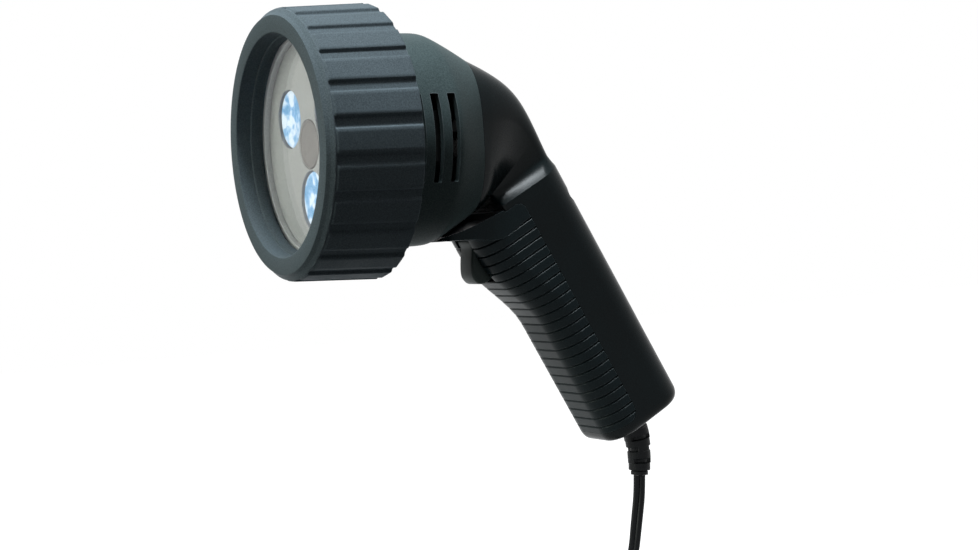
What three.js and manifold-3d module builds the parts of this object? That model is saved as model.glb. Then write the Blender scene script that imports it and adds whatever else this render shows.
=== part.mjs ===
// UV inspection lamp with a pistol grip: a round head with a padded bezel, a ribbed grip and a supply cord.
// Millimetres, +Z up. The beam leaves along -Y, and the origin is the middle of the grip.
//
// Head pieces are written in the head's frame: Y runs back from the front face along the beam axis.
// Handle pieces are written in the handle's frame, which is the head's frame turned about X by the rake:
// Y runs from the fingers to the palm, and a depth s down the handle is the place z = -s.

import * as THREE from 'three';
import { mergeVertices } from 'three/addons/utils/BufferGeometryUtils.js';
import Module from 'manifold-3d';

const wasm = await Module();
wasm.setup();

// Shared values
const gap = 0.3;
const overrun = 2;
const rake = THREE.MathUtils.degToRad(28.1);
const gripSetback = 53.5;

// Bezel: the padded ring round the front
const bezelReach = 12;
const bezelLength = 36.6;
const bezelChamferReach = 4;
const bezelChamferLength = 3;
const bezelNoseReach = 2.8;
const bezelNoseLength = 0.5;
const bezelBackChamfer = 0.6;
const bezelTaper = 1.3;
const padCount = 24;
const padGrooveDepth = 1.3;
const padGrooveWidth = 4;
const padGrooveSetback = 1.6;
const mouthStepDepth = 5.6;
const mouthStepLedge = 0.7;
const mouthFlare = 0.7;
const lipReach = 2;
const lipDraft = 0.5;
const sleeveWall = 1.6;
const outerWall = 1.3;
const backRecessDepth = 5.6;

// Front stack, front to back: glass, gasket, reflector plate
const collarReach = 1.7;
const collarLength = 6.8;
const glassFront = 9.6;
const glassThickness = 1.8;
const gasketThickness = 2;
const gasketLand = 3.3;
const plateThickness = 2.6;

// Optics: three ultraviolet lenses round a white one
const uvCount = 3;
const uvPitchRadius = 21;
const uvLensRadius = 11;
const lensSpacing = 0.4;
const lensHoleMargin = 0.2;
const whiteHoleMargin = 0.4;
const lensFlange = 1.2;
const lensFlangeStep = 0.6;
const lensLength = 9.8;
const lensFootRadius = 4.2;
const lensDish = 0.9;
const lensRim = 0.8;
const ledSide = 5;
const ledHeight = 0.9;

// Light engine: board, heat sink and fan
const engineClearance = 4.4;
const boardThickness = 1.6;
const sinkBase = 4;
const sinkLength = 15;
const sinkRim = 2.4;
const finCount = 20;
const finThickness = 1.6;
const finInner = 8;
const fanSetback = 2.5;
const fanWall = 2.6;
const fanLength = 10.6;
const fanFloor = 2;
const fanHubRadius = 9.5;
const fanShaftRadius = 1.5;
const bladeCount = 7;
const bladeThickness = 1.4;
const bladeSetback = 0.7;
const bladeTilt = THREE.MathUtils.degToRad(38);
const bladeTipGap = 0.9;
const spokeWidth = 3;
const spokeCount = 3;

// Bowl: the vented housing behind the bezel
const bowlRadius = 40;
const bowlWall = 2.6;
const bowlTaper = 17;
const fanRoom = 1;
const seamHalfWidth = 24.6;
const seamHalfHeight = 30.8;
const seamPower = 2.6;
const ventWidth = 2.6;
const ventPitch = 6.95;
const ventCount = 3;
const ventMargin = 0.8;
const ventTop = 15.8;
const ventBottom = -18;
const lugCount = 3;
const lugWidth = 7;
const lugLength = 5;
const leadHole = 9;
const bowlScrewX = 12;
const bowlScrewZ = 17;
const bowlScrewLength = 10;

// Screws
const screwRadius = 1.5;
const screwHeadRadius = 2.8;
const screwHeadHeight = 1.8;
const screwDriveDepth = 0.9;
const screwDriveWidth = 1.1;

// Handle: neck and palm side in one moulding
const handleHalfWidth = 17.4;
const handleFront = 55.6;
const handleThickness = 38;
const handleWall = 2.6;
const insertThickness = 13.8;
const backCorner = 12;
const frontCorner = 11;
const shoulderDrop = 23.5;
const handleLength = 106.5;
const buttBlock = 4.4;
const buttRound = 4;
const buttFloor = 8.5;
const neckSlope = THREE.MathUtils.degToRad(28.8);
const neckBackPower = 3.3;
const neckSidePower = 1.2;
const neckBands = 6;
const waistInset = 5.4;
const waistCorner = 3;
const waistLength = 5.2;
const waistHalfWidth = 12.5;
const waistPower = 3.6;
const flareShares = [[0.45, 0.11], [0.75, 0.34], [0.93, 0.63]];
const ductRadius = 7.5;

// Grip insert: the ribbed finger side with the hood over the trigger
const insertSetback = 2.6;
const insertCap = 4.9;
const insertTopRound = 3.2;
const insertBottomRound = 5;
const grooveCount = 23;
const grooveFirstInset = 7.7;
const grooveLastInset = 2.8;
const grooveHalfWidth = 0.7;
const grooveDepth = 0.8;
const fingerReach = 9.1;
const fingerStraight = 13.9;
const fingerEase = 35;
const fingerEaseShares = [[0, 0], [0.23, 0.27], [0.46, 0.65], [0.69, 0.89], [1, 1]];
const hoodNose = 57.2;
const hoodLength = 36.8;
const hoodShares = [
    [1, 0.625], [0.78, 0.71], [0.552, 0.793], [0.389, 0.85], [0.247, 0.898], [0.106, 0.945], [0.043, 0.963],
    [0.005, 0.985], [0.019, 1.015], [0.084, 1.023], [0.293, 1.02], [0.457, 1.03], [0.592, 1.075], [0.948, 1.2],
];
const hoodNoseHalfWidth = 9;
const hoodNoseRun = 15.8;
const hoodClearance = 0.8;

// Trigger and switch
const triggerWidthShare = 0.316;
const triggerMargin = 0.4;
const triggerReach = 5.3;
const triggerThickness = 15.2;
const triggerTopInset = 3.3;
const triggerLength = 18.6;
const triggerTravelRoom = 2;
const triggerShares = [
    [0.41, 0.05], [0.36, 0.23], [0.19, 0.43], [0.04, 0.64], [0, 0.78], [0.06, 0.93], [0.24, 1], [0.47, 0.98],
    [0.61, 0.88], [0.645, 0.57], [0.96, 0.376], [1, 0.086], [0.776, 0],
];
const triggerBevel = 0.8;
const pivotInset = 3.2;
const pivotSetback = 6.5;
const pivotRadius = 1.5;
const earThickness = 3;
const earRadius = 3.6;
const plungerInset = 13.6;
const plungerRadius = 1.1;
const plungerLength = 7;
const switchWidth = 12.8;
const switchInset = 8.6;
const switchHeight = 19;
const switchThickness = 8.4;
const switchSocket = 2.4;
const shelfThickness = 2;

// Driver: board, coil and capacitor in the palm side
const driverSideRoom = 3.3;
const driverInset = 13;
const driverStandoff = 5.2;
const driverThickness = 1.6;
const chipHeight = 1.6;
const chipSizeShare = 0.1085;
const chipPlaceShares = [0.125, 0.465, 0.775];
const chokeHeight = 7;
const chokeFlange = 1.4;
const chokeRadiusShare = 0.093;
const chokeWaistShare = 0.73;
const chokePlaceShare = 0.295;
const capHeight = 10;
const capRadiusShare = 0.062;
const capPlaceShare = 0.62;
const postSide = 3;
const postInset = 5;

// Screws that join the palm side to the grip insert
const jointScrewInset = 5.5;
const jointScrewSideRoom = 1.3;
const jointScrewLength = 22;
const counterboreDepth = 5;
const bossRadius = 3.6;

// Leads inside
const leadRadius = 1.3;
const leadBendShares = [[0, 0.96], [0.35, 0.77], [0.65, 0.29]];
const tailRise = 10.5;

// Strain relief and cord
const cordDiameter = 4.8;
const reliefPlace = 73.6;
const reliefTop = 5.6;
const reliefEnd = 4.4;
const reliefRibs = 5;
const reliefRibDepth = 0.9;
const reliefFlange = 7;
const reliefFlangeLength = 2;
const cordPoints = [
    [0, 147.9, -139.2], [0, 147.5, -144.2], [0, 146.9, -149.2], [0, 145.8, -155.2], [0, 144.7, -161.2],
    [-0.2, 143.7, -167.2], [-1.2, 142.8, -172.8], [-3.4, 142.3, -178.4], [-5.8, 142.7, -184],
    [-7.4, 144.8, -188.6], [-8.1, 148.4, -192.2], [-8.25, 152.8, -194.1],
];

// Coil: four layers that spiral in and out
const coilLayers = 4;
const coilPitch = 5.5;
const coilTurnsPerLayer = 3.302;
const coilOuter = 36.8;
const coilStart = THREE.MathUtils.degToRad(75);
const coilSteps = 24;
const coilSides = 6;
const coilTail = 8;

// Tie round the coil
const tieWidth = 9;
const tieThickness = 1.2;
const tieMargin = 0.7;
const tieAngle = THREE.MathUtils.degToRad(62);

// Low-voltage connector at the cord's end
const connectorRadius = 5.2;
const connectorLength = 19;
const connectorNeck = 9;
const connectorNeckRadius = 3.4;
const barrelRadius = 2.75;
const barrelLength = 9.5;
const barrelBore = 1.05;

// Facet counts
const roundSides = 48;
const smallSides = 20;
const tinySides = 12;
const screwSides = 8;
const cornerSteps = 6;
const sectionCount = 4 * (cornerSteps + 1);
const cordSides = 8;
const cordSteps = 16;
const leadSides = 5;
const reliefSides = 12;
const fingerSteps = 3;
const splitSteps = 3;
const turn = 2 * Math.PI;

// Worked out places along the beam axis
const gasketFront = glassFront + glassThickness + gap;
const plateFront = gasketFront + gasketThickness + gap;
const plateBack = plateFront + plateThickness;
const lensFront = plateBack + gap;
const ledFront = lensFront + lensLength + gap;
const boardFront = ledFront + ledHeight + gap;
const sinkFront = boardFront + boardThickness + gap;
const sinkBack = sinkFront + sinkLength;
const fanFront = sinkBack + gap;
const collarFront = lensFront;
const collarBack = collarFront + collarLength;
const fanBack = fanFront + fanLength;
const bowlShoulder = fanBack + fanRoom;
const ventFirst = bowlShoulder - ventMargin - ventWidth / 2 - ventPitch * (ventCount - 1);
const bowlBack = bowlShoulder + bowlTaper;

// Worked out radii
const bezelRadius = bowlRadius + bezelReach;
const stackRadius = bowlRadius + collarReach;
const whiteLensRadius = uvPitchRadius - uvLensRadius - lensSpacing;
const boardRadius = bowlRadius - bowlWall - engineClearance;
const finOuter = boardRadius - sinkRim;
const fanOuter = boardRadius - fanSetback;
const leadHeight = boardRadius + leadRadius + 2 * gap;

// Worked out places across the handle, from the fingers to the palm
const handleBack = handleFront + handleThickness;
const fingerSideFront = handleFront - fingerReach;
const waistFront = handleFront + waistInset;
const splitPlace = handleFront + insertThickness;
const palmFront = splitPlace + gap;
const triggerFront = fingerSideFront - triggerReach;
const pivotPlace = fingerSideFront + pivotSetback;
const switchFront = triggerFront + triggerThickness + gap;
const driverPlace = handleBack - handleWall - driverStandoff - driverThickness;
const screwSeat = handleBack - counterboreDepth;

// Worked out depths down the handle
const shoulderDepth = bowlRadius + shoulderDrop;
const gripDepth = shoulderDepth + gripSetback;
const buttDepth = shoulderDepth + handleLength;
const waistDepth = shoulderDepth - waistLength;
const insertTop = shoulderDepth + insertSetback;
const insertBottom = buttDepth - buttBlock - gap;
const pocketTop = insertTop + insertCap;
const pocketBottom = buttDepth - buttFloor;
const grooveFirst = insertTop + grooveFirstInset;
const groovePitch = (insertBottom - grooveLastInset - grooveFirst) / (grooveCount - 1);
const triggerTop = insertTop + triggerTopInset;
const pivotDepth = triggerTop + pivotInset;
const plungerDepth = triggerTop + plungerInset;
const switchTop = triggerTop + switchInset;
const driverTop = pocketTop + driverInset;
const driverBottom = pocketBottom - driverInset;
const driverLength = driverBottom - driverTop;
const driverHalfWidth = handleHalfWidth - handleWall - driverSideRoom;
const triggerHalfWidth = handleHalfWidth * triggerWidthShare;
const jointScrewX = triggerHalfWidth + jointScrewSideRoom + bossRadius;
const reliefDepth = pocketBottom - reliefFlangeLength - gap;

// Materials
function plastic(color, roughness) {
    return new THREE.MeshStandardMaterial({ color, roughness, metalness: 0 });
}

function metal(color, roughness) {
    return new THREE.MeshStandardMaterial({ color, roughness, metalness: 1 });
}

const bezelRubber = plastic(0x303844, 0.7);
const bowlPlastic = plastic(0x2b302f, 0.55);
const handlePlastic = plastic(0x14171a, 0.6);
const gripRubber = plastic(0x1b1f22, 0.5);
const triggerPlastic = plastic(0x343a39, 0.45);
const cordVinyl = plastic(0x101113, 0.4);
const clearGlass = plastic(0x8a847c, 0.05);
const greyPlate = plastic(0x8a847c, 0.5);
const lensPlastic = plastic(0xb8d8f0, 0.1);
const boardGreen = plastic(0x1f5a3a, 0.5);
const ledWhite = plastic(0xe8e6da, 0.3);
const aluminium = metal(0xb5b8ba, 0.4);
const steel = metal(0x8f9396, 0.35);
const copper = plastic(0x7a3b1c, 0.4);
const leadVinyl = plastic(0x5a1414, 0.5);

// Solids
function toSolid(geometry) {
    let plain = geometry.index ? geometry : mergeVertices(geometry);
    plain = plain.clone();
    plain.deleteAttribute('normal');
    plain.deleteAttribute('uv');
    plain = mergeVertices(plain);
    const vertProperties = Float32Array.from(plain.attributes.position.array);
    const triVerts = Uint32Array.from(plain.index.array);
    if (signedVolume(vertProperties, triVerts) < 0) {
        for (let i = 0; i < triVerts.length; i += 3) {
            [triVerts[i], triVerts[i + 1]] = [triVerts[i + 1], triVerts[i]];
        }
    }
    return new wasm.Manifold(new wasm.Mesh({ numProp: 3, vertProperties, triVerts }));
}

function signedVolume(points, triangles) {
    const a = new THREE.Vector3();
    const b = new THREE.Vector3();
    const c = new THREE.Vector3();
    let total = 0;
    for (let i = 0; i < triangles.length; i += 3) {
        a.fromArray(points, 3 * triangles[i]);
        b.fromArray(points, 3 * triangles[i + 1]);
        c.fromArray(points, 3 * triangles[i + 2]);
        total += a.dot(b.cross(c));
    }
    return total;
}

function toMesh(name, solid, material) {
    const { vertProperties, triVerts } = solid.getMesh();
    const geometry = new THREE.BufferGeometry();
    geometry.setAttribute('position', new THREE.BufferAttribute(Float32Array.from(vertProperties), 3));
    geometry.setIndex(new THREE.BufferAttribute(Uint32Array.from(triVerts), 1));
    geometry.computeVertexNormals();
    const mesh = new THREE.Mesh(geometry, material);
    mesh.name = name;
    return mesh;
}

function union(solids) {
    return solids.reduce((whole, solid) => whole.add(solid));
}

// Copies of a solid, evenly spaced about the beam axis
function copiesRound(solid, count, startShare = 0) {
    return Array.from({ length: count }, (_, i) => solid.rotate([0, (360 * (i + startShare)) / count, 0]));
}

// A closed profile of [radius, place] pairs turned about the beam axis
function revolve(profile, sides = roundSides) {
    const points = profile.map(([radius, place]) => new THREE.Vector2(radius, place));
    points.push(points[0].clone());
    return toSolid(new THREE.LatheGeometry(points, sides));
}

function ring(inner, outer, front, back, sides = roundSides) {
    return revolve([[inner, front], [outer, front], [outer, back], [inner, back]], sides);
}

function disc(radius, front, back, sides = roundSides) {
    const geometry = new THREE.CylinderGeometry(radius, radius, back - front, sides);
    geometry.translate(0, (front + back) / 2, 0);
    return toSolid(geometry);
}

function block(x0, x1, y0, y1, z0, z1) {
    const geometry = new THREE.BoxGeometry(x1 - x0, y1 - y0, z1 - z0);
    geometry.translate((x0 + x1) / 2, (y0 + y1) / 2, (z0 + z1) / 2);
    return toSolid(geometry);
}

// A skin over rings of equal count, closed by a fan at each end
function loft(rings) {
    const count = rings[0].length;
    const positions = rings.flat().flatMap((point) => [point.x, point.y, point.z]);
    const index = [];
    for (let row = 0; row + 1 < rings.length; row += 1) {
        for (let i = 0; i < count; i += 1) {
            const next = (i + 1) % count;
            const a = row * count + i;
            const b = row * count + next;
            index.push(a, b, b + count, a, b + count, a + count);
        }
    }
    const last = (rings.length - 1) * count;
    for (let i = 1; i + 1 < count; i += 1) {
        index.push(0, i + 1, i);
        index.push(last, last + i, last + i + 1);
    }
    const geometry = new THREE.BufferGeometry();
    geometry.setAttribute('position', new THREE.BufferAttribute(new Float32Array(positions), 3));
    geometry.setIndex(index);
    return geometry;
}

// A flat outline of [y, z] pairs, thickened along X about the symmetry plane
function slab(outline, halfWidth, bevel = 0) {
    const shape = new THREE.Shape(outline.map(([y, z]) => new THREE.Vector2(y, z)));
    const geometry = new THREE.ExtrudeGeometry(shape, {
        depth: 2 * (halfWidth - bevel),
        bevelEnabled: bevel > 0,
        bevelThickness: bevel,
        bevelSize: bevel,
        bevelOffset: -bevel,
        bevelSegments: 1,
    });
    geometry.translate(0, 0, -(halfWidth - bevel));
    const turned = new THREE.Matrix4().makeBasis(
        new THREE.Vector3(0, 1, 0), new THREE.Vector3(0, 0, 1), new THREE.Vector3(1, 0, 0),
    );
    return toSolid(geometry.applyMatrix4(turned));
}

// A tube of the given radius along a curve of [x, y, z] points
function tube(points, radius, steps, sides) {
    const curve = new THREE.CatmullRomCurve3(points.map(([x, y, z]) => new THREE.Vector3(x, y, z)));
    const corners = [];
    for (let i = 0; i < sides; i += 1) {
        const angle = (turn * i) / sides;
        corners.push(new THREE.Vector2(radius * Math.cos(angle), radius * Math.sin(angle)));
    }
    const shape = new THREE.Shape(corners);
    return new THREE.ExtrudeGeometry(shape, { steps, bevelEnabled: false, extrudePath: curve });
}

// A screw along +Y: its head's seat is at the origin, and its shank runs back from there
function screw(length) {
    const head = disc(screwHeadRadius, -screwHeadHeight, 0, tinySides);
    const shank = disc(screwRadius, -gap, length, screwSides);
    const driveFront = -screwHeadHeight - overrun;
    const driveBack = screwDriveDepth - screwHeadHeight;
    const long = screwHeadRadius / 2;
    const narrow = screwDriveWidth / 2;
    const drive = block(-long, long, driveFront, driveBack, -narrow, narrow)
        .add(block(-narrow, narrow, driveFront, driveBack, -long, long));
    return head.add(shank).subtract(drive);
}

// Frames
function toHandle(y, z) {
    return [y * Math.cos(rake) + z * Math.sin(rake), z * Math.cos(rake) - y * Math.sin(rake)];
}

// The head's place of a point at the given place across the handle and depth down it
function toHead(across, depth) {
    return [
        across * Math.cos(rake) + depth * Math.sin(rake), across * Math.sin(rake) - depth * Math.cos(rake),
    ];
}

// A solid written in the head's frame, turned into the handle's
function turnToHandle(solid) {
    return solid.rotate([-THREE.MathUtils.radToDeg(rake), 0, 0]);
}

// Sections
function superellipse(halfWidth, halfDepth, power, count) {
    const points = [];
    for (let i = 0; i < count; i += 1) {
        const angle = (turn * (i + 1 / 2)) / count;
        const c = Math.cos(angle);
        const s = Math.sin(angle);
        const x = halfWidth * Math.sign(c) * Math.abs(c) ** (2 / power);
        const y = halfDepth * Math.sign(s) * Math.abs(s) ** (2 / power);
        points.push([x, y]);
    }
    return points;
}

function roundedSection(halfWidth, front, back, frontRound, backRound) {
    const points = [];
    const corners = [
        [halfWidth - backRound, back - backRound, backRound],
        [backRound - halfWidth, back - backRound, backRound],
        [frontRound - halfWidth, front + frontRound, frontRound],
        [halfWidth - frontRound, front + frontRound, frontRound],
    ];
    corners.forEach(([x, y, round], quarter) => {
        for (let step = 0; step <= cornerSteps; step += 1) {
            const angle = (turn * (quarter + step / cornerSteps)) / 4;
            points.push([x + round * Math.cos(angle), y + round * Math.sin(angle)]);
        }
    });
    return points;
}

function atDepth(section, depth) {
    return section.map(([x, y]) => new THREE.Vector3(x, y, -depth));
}

function inHead(section, place) {
    return section.map(([x, z]) => new THREE.Vector3(x, place, z));
}

// Head pieces
function bezelRing() {
    const lip = stackRadius - lipReach;
    const step = lip + lipDraft;
    const outer = bezelRadius - padGrooveDepth - outerWall;
    const front = bezelRadius - bezelTaper;
    const inner = stackRadius + gap + sleeveWall;
    const body = revolve([
        [step + mouthStepLedge + mouthFlare, 0],
        [front - bezelChamferReach, 0],
        [front - bezelNoseReach, bezelNoseLength],
        [front, bezelChamferLength],
        [bezelRadius, bezelLength - bezelBackChamfer],
        [bezelRadius - bezelBackChamfer, bezelLength],
        [outer, bezelLength],
        [outer, bezelLength - backRecessDepth],
        [inner, bezelLength - backRecessDepth],
        [inner, bezelLength],
        [bowlRadius + gap, bezelLength],
        [bowlRadius + gap, collarBack + gap],
        [stackRadius + gap, collarBack + gap],
        [stackRadius + gap, glassFront - gap],
        [lip, glassFront - gap],
        [step, mouthStepDepth],
        [step + mouthStepLedge, mouthStepDepth],
    ]);
    const half = padGrooveWidth / 2;
    const start = bezelChamferLength + padGrooveSetback;
    const slope = THREE.MathUtils.radToDeg(Math.atan(bezelTaper / (bezelLength - bezelChamferLength)));
    const groove = block(-padGrooveDepth, overrun, start - bezelLength, overrun, -half, half)
        .rotate([0, 0, -slope])
        .translate([bezelRadius, bezelLength, 0]);
    const grooves = copiesRound(groove, padCount, 1 / 2);
    return toMesh('bezel_ring', body.subtract(union(grooves)), bezelRubber);
}

function frontGlass() {
    return toMesh('front_glass', disc(stackRadius, glassFront, glassFront + glassThickness, roundSides), clearGlass);
}

function glassGasket() {
    const body = ring(stackRadius - gasketLand, stackRadius, gasketFront, gasketFront + gasketThickness, roundSides);
    return toMesh('glass_gasket', body, gripRubber);
}

// The places of the ultraviolet lenses: one below, two above the middle
function uvPlaces() {
    const places = [];
    for (let i = 0; i < uvCount; i += 1) {
        const angle = -turn / 4 + (turn * i) / uvCount;
        places.push([uvPitchRadius * Math.cos(angle), uvPitchRadius * Math.sin(angle)]);
    }
    return places;
}

function reflectorPlate() {
    let body = disc(stackRadius, plateFront, plateBack, roundSides);
    const hole = disc(uvLensRadius - lensHoleMargin, plateFront - overrun, plateBack + overrun, smallSides);
    for (const [x, z] of uvPlaces()) {
        body = body.subtract(hole.translate([x, 0, z]));
    }
    const middle = whiteLensRadius - whiteHoleMargin;
    body = body.subtract(disc(middle, plateFront - overrun, plateBack + overrun, smallSides));
    return toMesh('reflector_plate', body, greyPlate);
}

function lensSolid(radius) {
    return revolve([
        [0, lensFront + lensDish],
        [radius / 2, lensFront + lensDish / 2],
        [radius - lensRim, lensFront],
        [radius, lensFront],
        [radius, lensFront + lensFlange],
        [radius - lensFlangeStep, lensFront + lensFlange],
        [lensFootRadius, lensFront + lensLength],
        [0, lensFront + lensLength],
    ], smallSides);
}

function optics() {
    const meshes = [];
    const half = ledSide / 2;
    const led = block(-half, half, ledFront, ledFront + ledHeight, -half, half);
    uvPlaces().forEach(([x, z], i) => {
        meshes.push(toMesh(`uv_lens_${i + 1}`, lensSolid(uvLensRadius).translate([x, 0, z]), lensPlastic));
        meshes.push(toMesh(`uv_led_${i + 1}`, led.translate([x, 0, z]), ledWhite));
    });
    meshes.push(toMesh('white_lens', lensSolid(whiteLensRadius), lensPlastic));
    meshes.push(toMesh('white_led', led, ledWhite));
    return meshes;
}

function ledBoard() {
    return toMesh('led_board', disc(boardRadius, boardFront, boardFront + boardThickness, roundSides), boardGreen);
}

function heatSink() {
    const base = disc(boardRadius, sinkFront, sinkFront + sinkBase);
    const half = finThickness / 2;
    const fin = block(finInner, finOuter, sinkFront + sinkBase - gap, sinkBack, -half, half);
    return toMesh('heat_sink', union([base, ...copiesRound(fin, finCount)]), aluminium);
}

function fanFrame() {
    const rim = ring(fanOuter - fanWall, fanOuter, fanFront, fanBack, smallSides);
    const seat = disc(fanHubRadius, fanBack - fanFloor, fanBack, smallSides);
    const half = spokeWidth / 2;
    const spoke = block(fanHubRadius - half, fanOuter - half, fanBack - fanFloor, fanBack, -half, half);
    const body = union([rim, seat, ...copiesRound(spoke, spokeCount, 1 / 4)]);
    const bearing = disc(fanShaftRadius + gap, fanFront, fanBack + overrun, tinySides);
    return toMesh('fan_frame', body.subtract(bearing), handlePlastic);
}

function fanRotor() {
    const hubFront = fanFront + gap;
    const hubBack = fanBack - fanFloor - gap;
    const bladeFront = hubFront + bladeSetback;
    const bladeBack = hubBack - bladeSetback;
    const long = (bladeBack - bladeFront) / Math.cos(bladeTilt) / 2;
    const half = bladeThickness / 2;
    const tip = fanOuter - fanWall - bladeTipGap;
    const blade = block(fanHubRadius - half, tip + overrun, -long, long, -half, half)
        .rotate([THREE.MathUtils.radToDeg(bladeTilt), 0, 0])
        .translate([0, (hubFront + hubBack) / 2, 0]);
    const room = disc(tip, bladeFront, bladeBack, smallSides);
    const body = union([
        disc(fanHubRadius, hubFront, hubBack, smallSides),
        union(copiesRound(blade, bladeCount)).intersect(room),
        disc(fanShaftRadius, hubBack - gap, fanBack - gap, tinySides),
    ]);
    return toMesh('fan_rotor', body, handlePlastic);
}

// The bowl's outside, and with a positive inset its inside
function bowlSkin(inset, front, back) {
    const count = roundSides;
    const rings = [front, bowlShoulder].map((place) => inHead(
        superellipse(bowlRadius - inset, bowlRadius - inset, 2, count), place,
    ));
    const bands = 4;
    for (let i = 1; i <= bands; i += 1) {
        const share = i / bands;
        const width = THREE.MathUtils.lerp(bowlRadius, seamHalfWidth, share) - inset;
        const height = THREE.MathUtils.lerp(bowlRadius, seamHalfHeight, share) - inset;
        const power = THREE.MathUtils.lerp(2, seamPower, share);
        const place = THREE.MathUtils.lerp(bowlShoulder, back, share);
        rings.push(inHead(superellipse(width, height, power, count), place));
    }
    return toSolid(loft(rings));
}

function bowlScrewPlaces() {
    return [[1, 1], [-1, 1], [-1, -1], [1, -1]].map(([x, z]) => [x * bowlScrewX, z * bowlScrewZ]);
}

function bowlHousing() {
    let body = bowlSkin(0, collarFront, bowlBack);
    body = body.add(ring(bowlRadius - bowlWall / 2, stackRadius, collarFront, collarBack));
    body = body.subtract(bowlSkin(bowlWall, collarFront - overrun, bowlBack - bowlWall));
    body = body.subtract(disc(leadHole, bowlShoulder, bowlBack + overrun, smallSides));
    const reach = bowlRadius + overrun;
    const inner = Math.sqrt((bowlRadius - bowlWall) ** 2 - ventBottom ** 2) - overrun;
    const half = ventWidth / 2;
    for (let i = 0; i < ventCount; i += 1) {
        const place = ventFirst + ventPitch * i;
        body = body.subtract(block(inner, reach, place - half, place + half, ventBottom, ventTop));
        body = body.subtract(block(-reach, -inner, place - half, place + half, ventBottom, ventTop));
    }
    const lugFront = sinkFront + sinkBase + gap;
    const lug = block(finOuter + 2 * gap, bowlRadius - bowlWall / 2, lugFront, lugFront + lugLength,
        -lugWidth / 2, lugWidth / 2);
    body = union([body, ...copiesRound(lug, lugCount, lugCount / 4)]);
    const hole = disc(screwRadius + gap, bowlShoulder, bowlBack + overrun, tinySides);
    const holes = bowlScrewPlaces().map(([x, z]) => hole.translate([x, 0, z]));
    return toMesh('bowl_housing', body.subtract(union(holes)), bowlPlastic);
}

function bowlScrews() {
    return bowlScrewPlaces().map(([x, z], i) => {
        const seat = bowlBack - bowlWall - gap;
        return toMesh(`bowl_screw_${i + 1}`, screw(bowlScrewLength).translate([x, seat, z]), steel);
    });
}

// Neck: its underside runs straight from the bowl to the waist, and its back bends from one slope to the other.
// Places are in the head's frame, and share runs from the bowl to the waist
function neckUnder(share) {
    const [waistY, waistZ] = toHead(waistFront, waistDepth);
    return [
        THREE.MathUtils.lerp(bowlBack + gap, waistY, share),
        THREE.MathUtils.lerp(-seamHalfHeight, waistZ, share),
    ];
}

function neckOver(share) {
    const start = [bowlBack + gap, seamHalfHeight];
    const end = toHead(handleBack, waistDepth);
    const run = (handleBack - toHandle(...start)[0]) / Math.cos(neckSlope + rake);
    const corner = [start[0] + run * Math.cos(neckSlope), start[1] - run * Math.sin(neckSlope)];
    const fromStart = (1 - share) ** neckBackPower;
    const fromEnd = share ** neckBackPower;
    return corner.map((place, axis) => (
        place + fromStart * (start[axis] - place) + fromEnd * (end[axis] - place)
    ));
}

function neckMiddle(share) {
    const under = neckUnder(share);
    const over = neckOver(share);
    return [(under[0] + over[0]) / 2, (under[1] + over[1]) / 2];
}

function neckRing(share) {
    const [underY, underZ] = toHandle(...neckUnder(share));
    const [overY, overZ] = toHandle(...neckOver(share));
    const [middleY, middleZ] = toHandle(...neckMiddle(share));
    const long = Math.hypot(overY - underY, overZ - underZ);
    const along = [(overY - underY) / long, (overZ - underZ) / long];
    const side = 1 - (1 - share) ** neckSidePower;
    const halfWidth = THREE.MathUtils.lerp(seamHalfWidth, waistHalfWidth, side);
    const power = THREE.MathUtils.lerp(seamPower, waistPower, share);
    return superellipse(halfWidth, long / 2, power, sectionCount)
        .map(([x, d]) => new THREE.Vector3(x, middleY + d * along[0], middleZ + d * along[1]));
}

// The hollow sweep from the waist out to the handle's shoulder
function flareRing([depthShare, widthShare]) {
    const middle = (waistFront + handleBack) / 2;
    const palm = palmSection(0, waistFront);
    const section = superellipse(waistHalfWidth, (handleBack - waistFront) / 2, waistPower, sectionCount)
        .map(([x, y], i) => [
            THREE.MathUtils.lerp(x, palm[i][0], widthShare), THREE.MathUtils.lerp(y + middle, palm[i][1], widthShare),
        ]);
    return atDepth(section, THREE.MathUtils.lerp(waistDepth, shoulderDepth, depthShare));
}

function palmSection(inset, front) {
    return roundedSection(handleHalfWidth - inset, front, handleBack - inset, waistCorner, backCorner - inset);
}

// The butt: a plate across both halves, with its edge rounded off
function buttPlate() {
    const rings = [
        [0, buttDepth - buttBlock],
        [0, buttDepth - buttRound / 2],
        [buttRound / 8, buttDepth - buttRound / 4],
        [buttRound / 2, buttDepth],
    ];
    return toSolid(loft(rings.map(([inset, depth]) => atDepth(
        roundedSection(handleHalfWidth - inset, handleFront + inset, handleBack - inset, frontCorner,
            backCorner - inset),
        depth,
    ))));
}

// The hole that the strain relief leaves by
function reliefHole() {
    const length = buttFloor + 2 * overrun;
    return toSolid(new THREE.CylinderGeometry(reliefTop + gap, reliefTop + gap, length, smallSides)
        .rotateX(turn / 4).translate(0, reliefPlace, length / 2 - buttDepth - overrun));
}

// The side outline that parts the grip insert from the palm side, as [y, z] pairs. Its two corners by the palm
// are round, and its front edge lies ahead of the handle. It grows by a margin all round
function splitOutline(margin) {
    const edge = splitPlace + margin;
    const arcs = [
        [edge - insertTopRound, margin - insertTop - insertTopRound, insertTopRound, 1 / 4],
        [edge - insertBottomRound, insertBottomRound - insertBottom - margin, insertBottomRound, 0],
    ];
    const points = arcs.flatMap(([y, z, round, start]) => Array.from({ length: splitSteps + 1 }, (_, step) => {
        const angle = turn * (start - step / splitSteps / 4);
        return [y + round * Math.cos(angle), z + round * Math.sin(angle)];
    }));
    return [...points, [overrun, -insertBottom - margin]];
}

function jointScrewPlaces() {
    return [[jointScrewX, pocketTop + jointScrewInset], [-jointScrewX, pocketBottom - jointScrewInset]];
}

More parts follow.
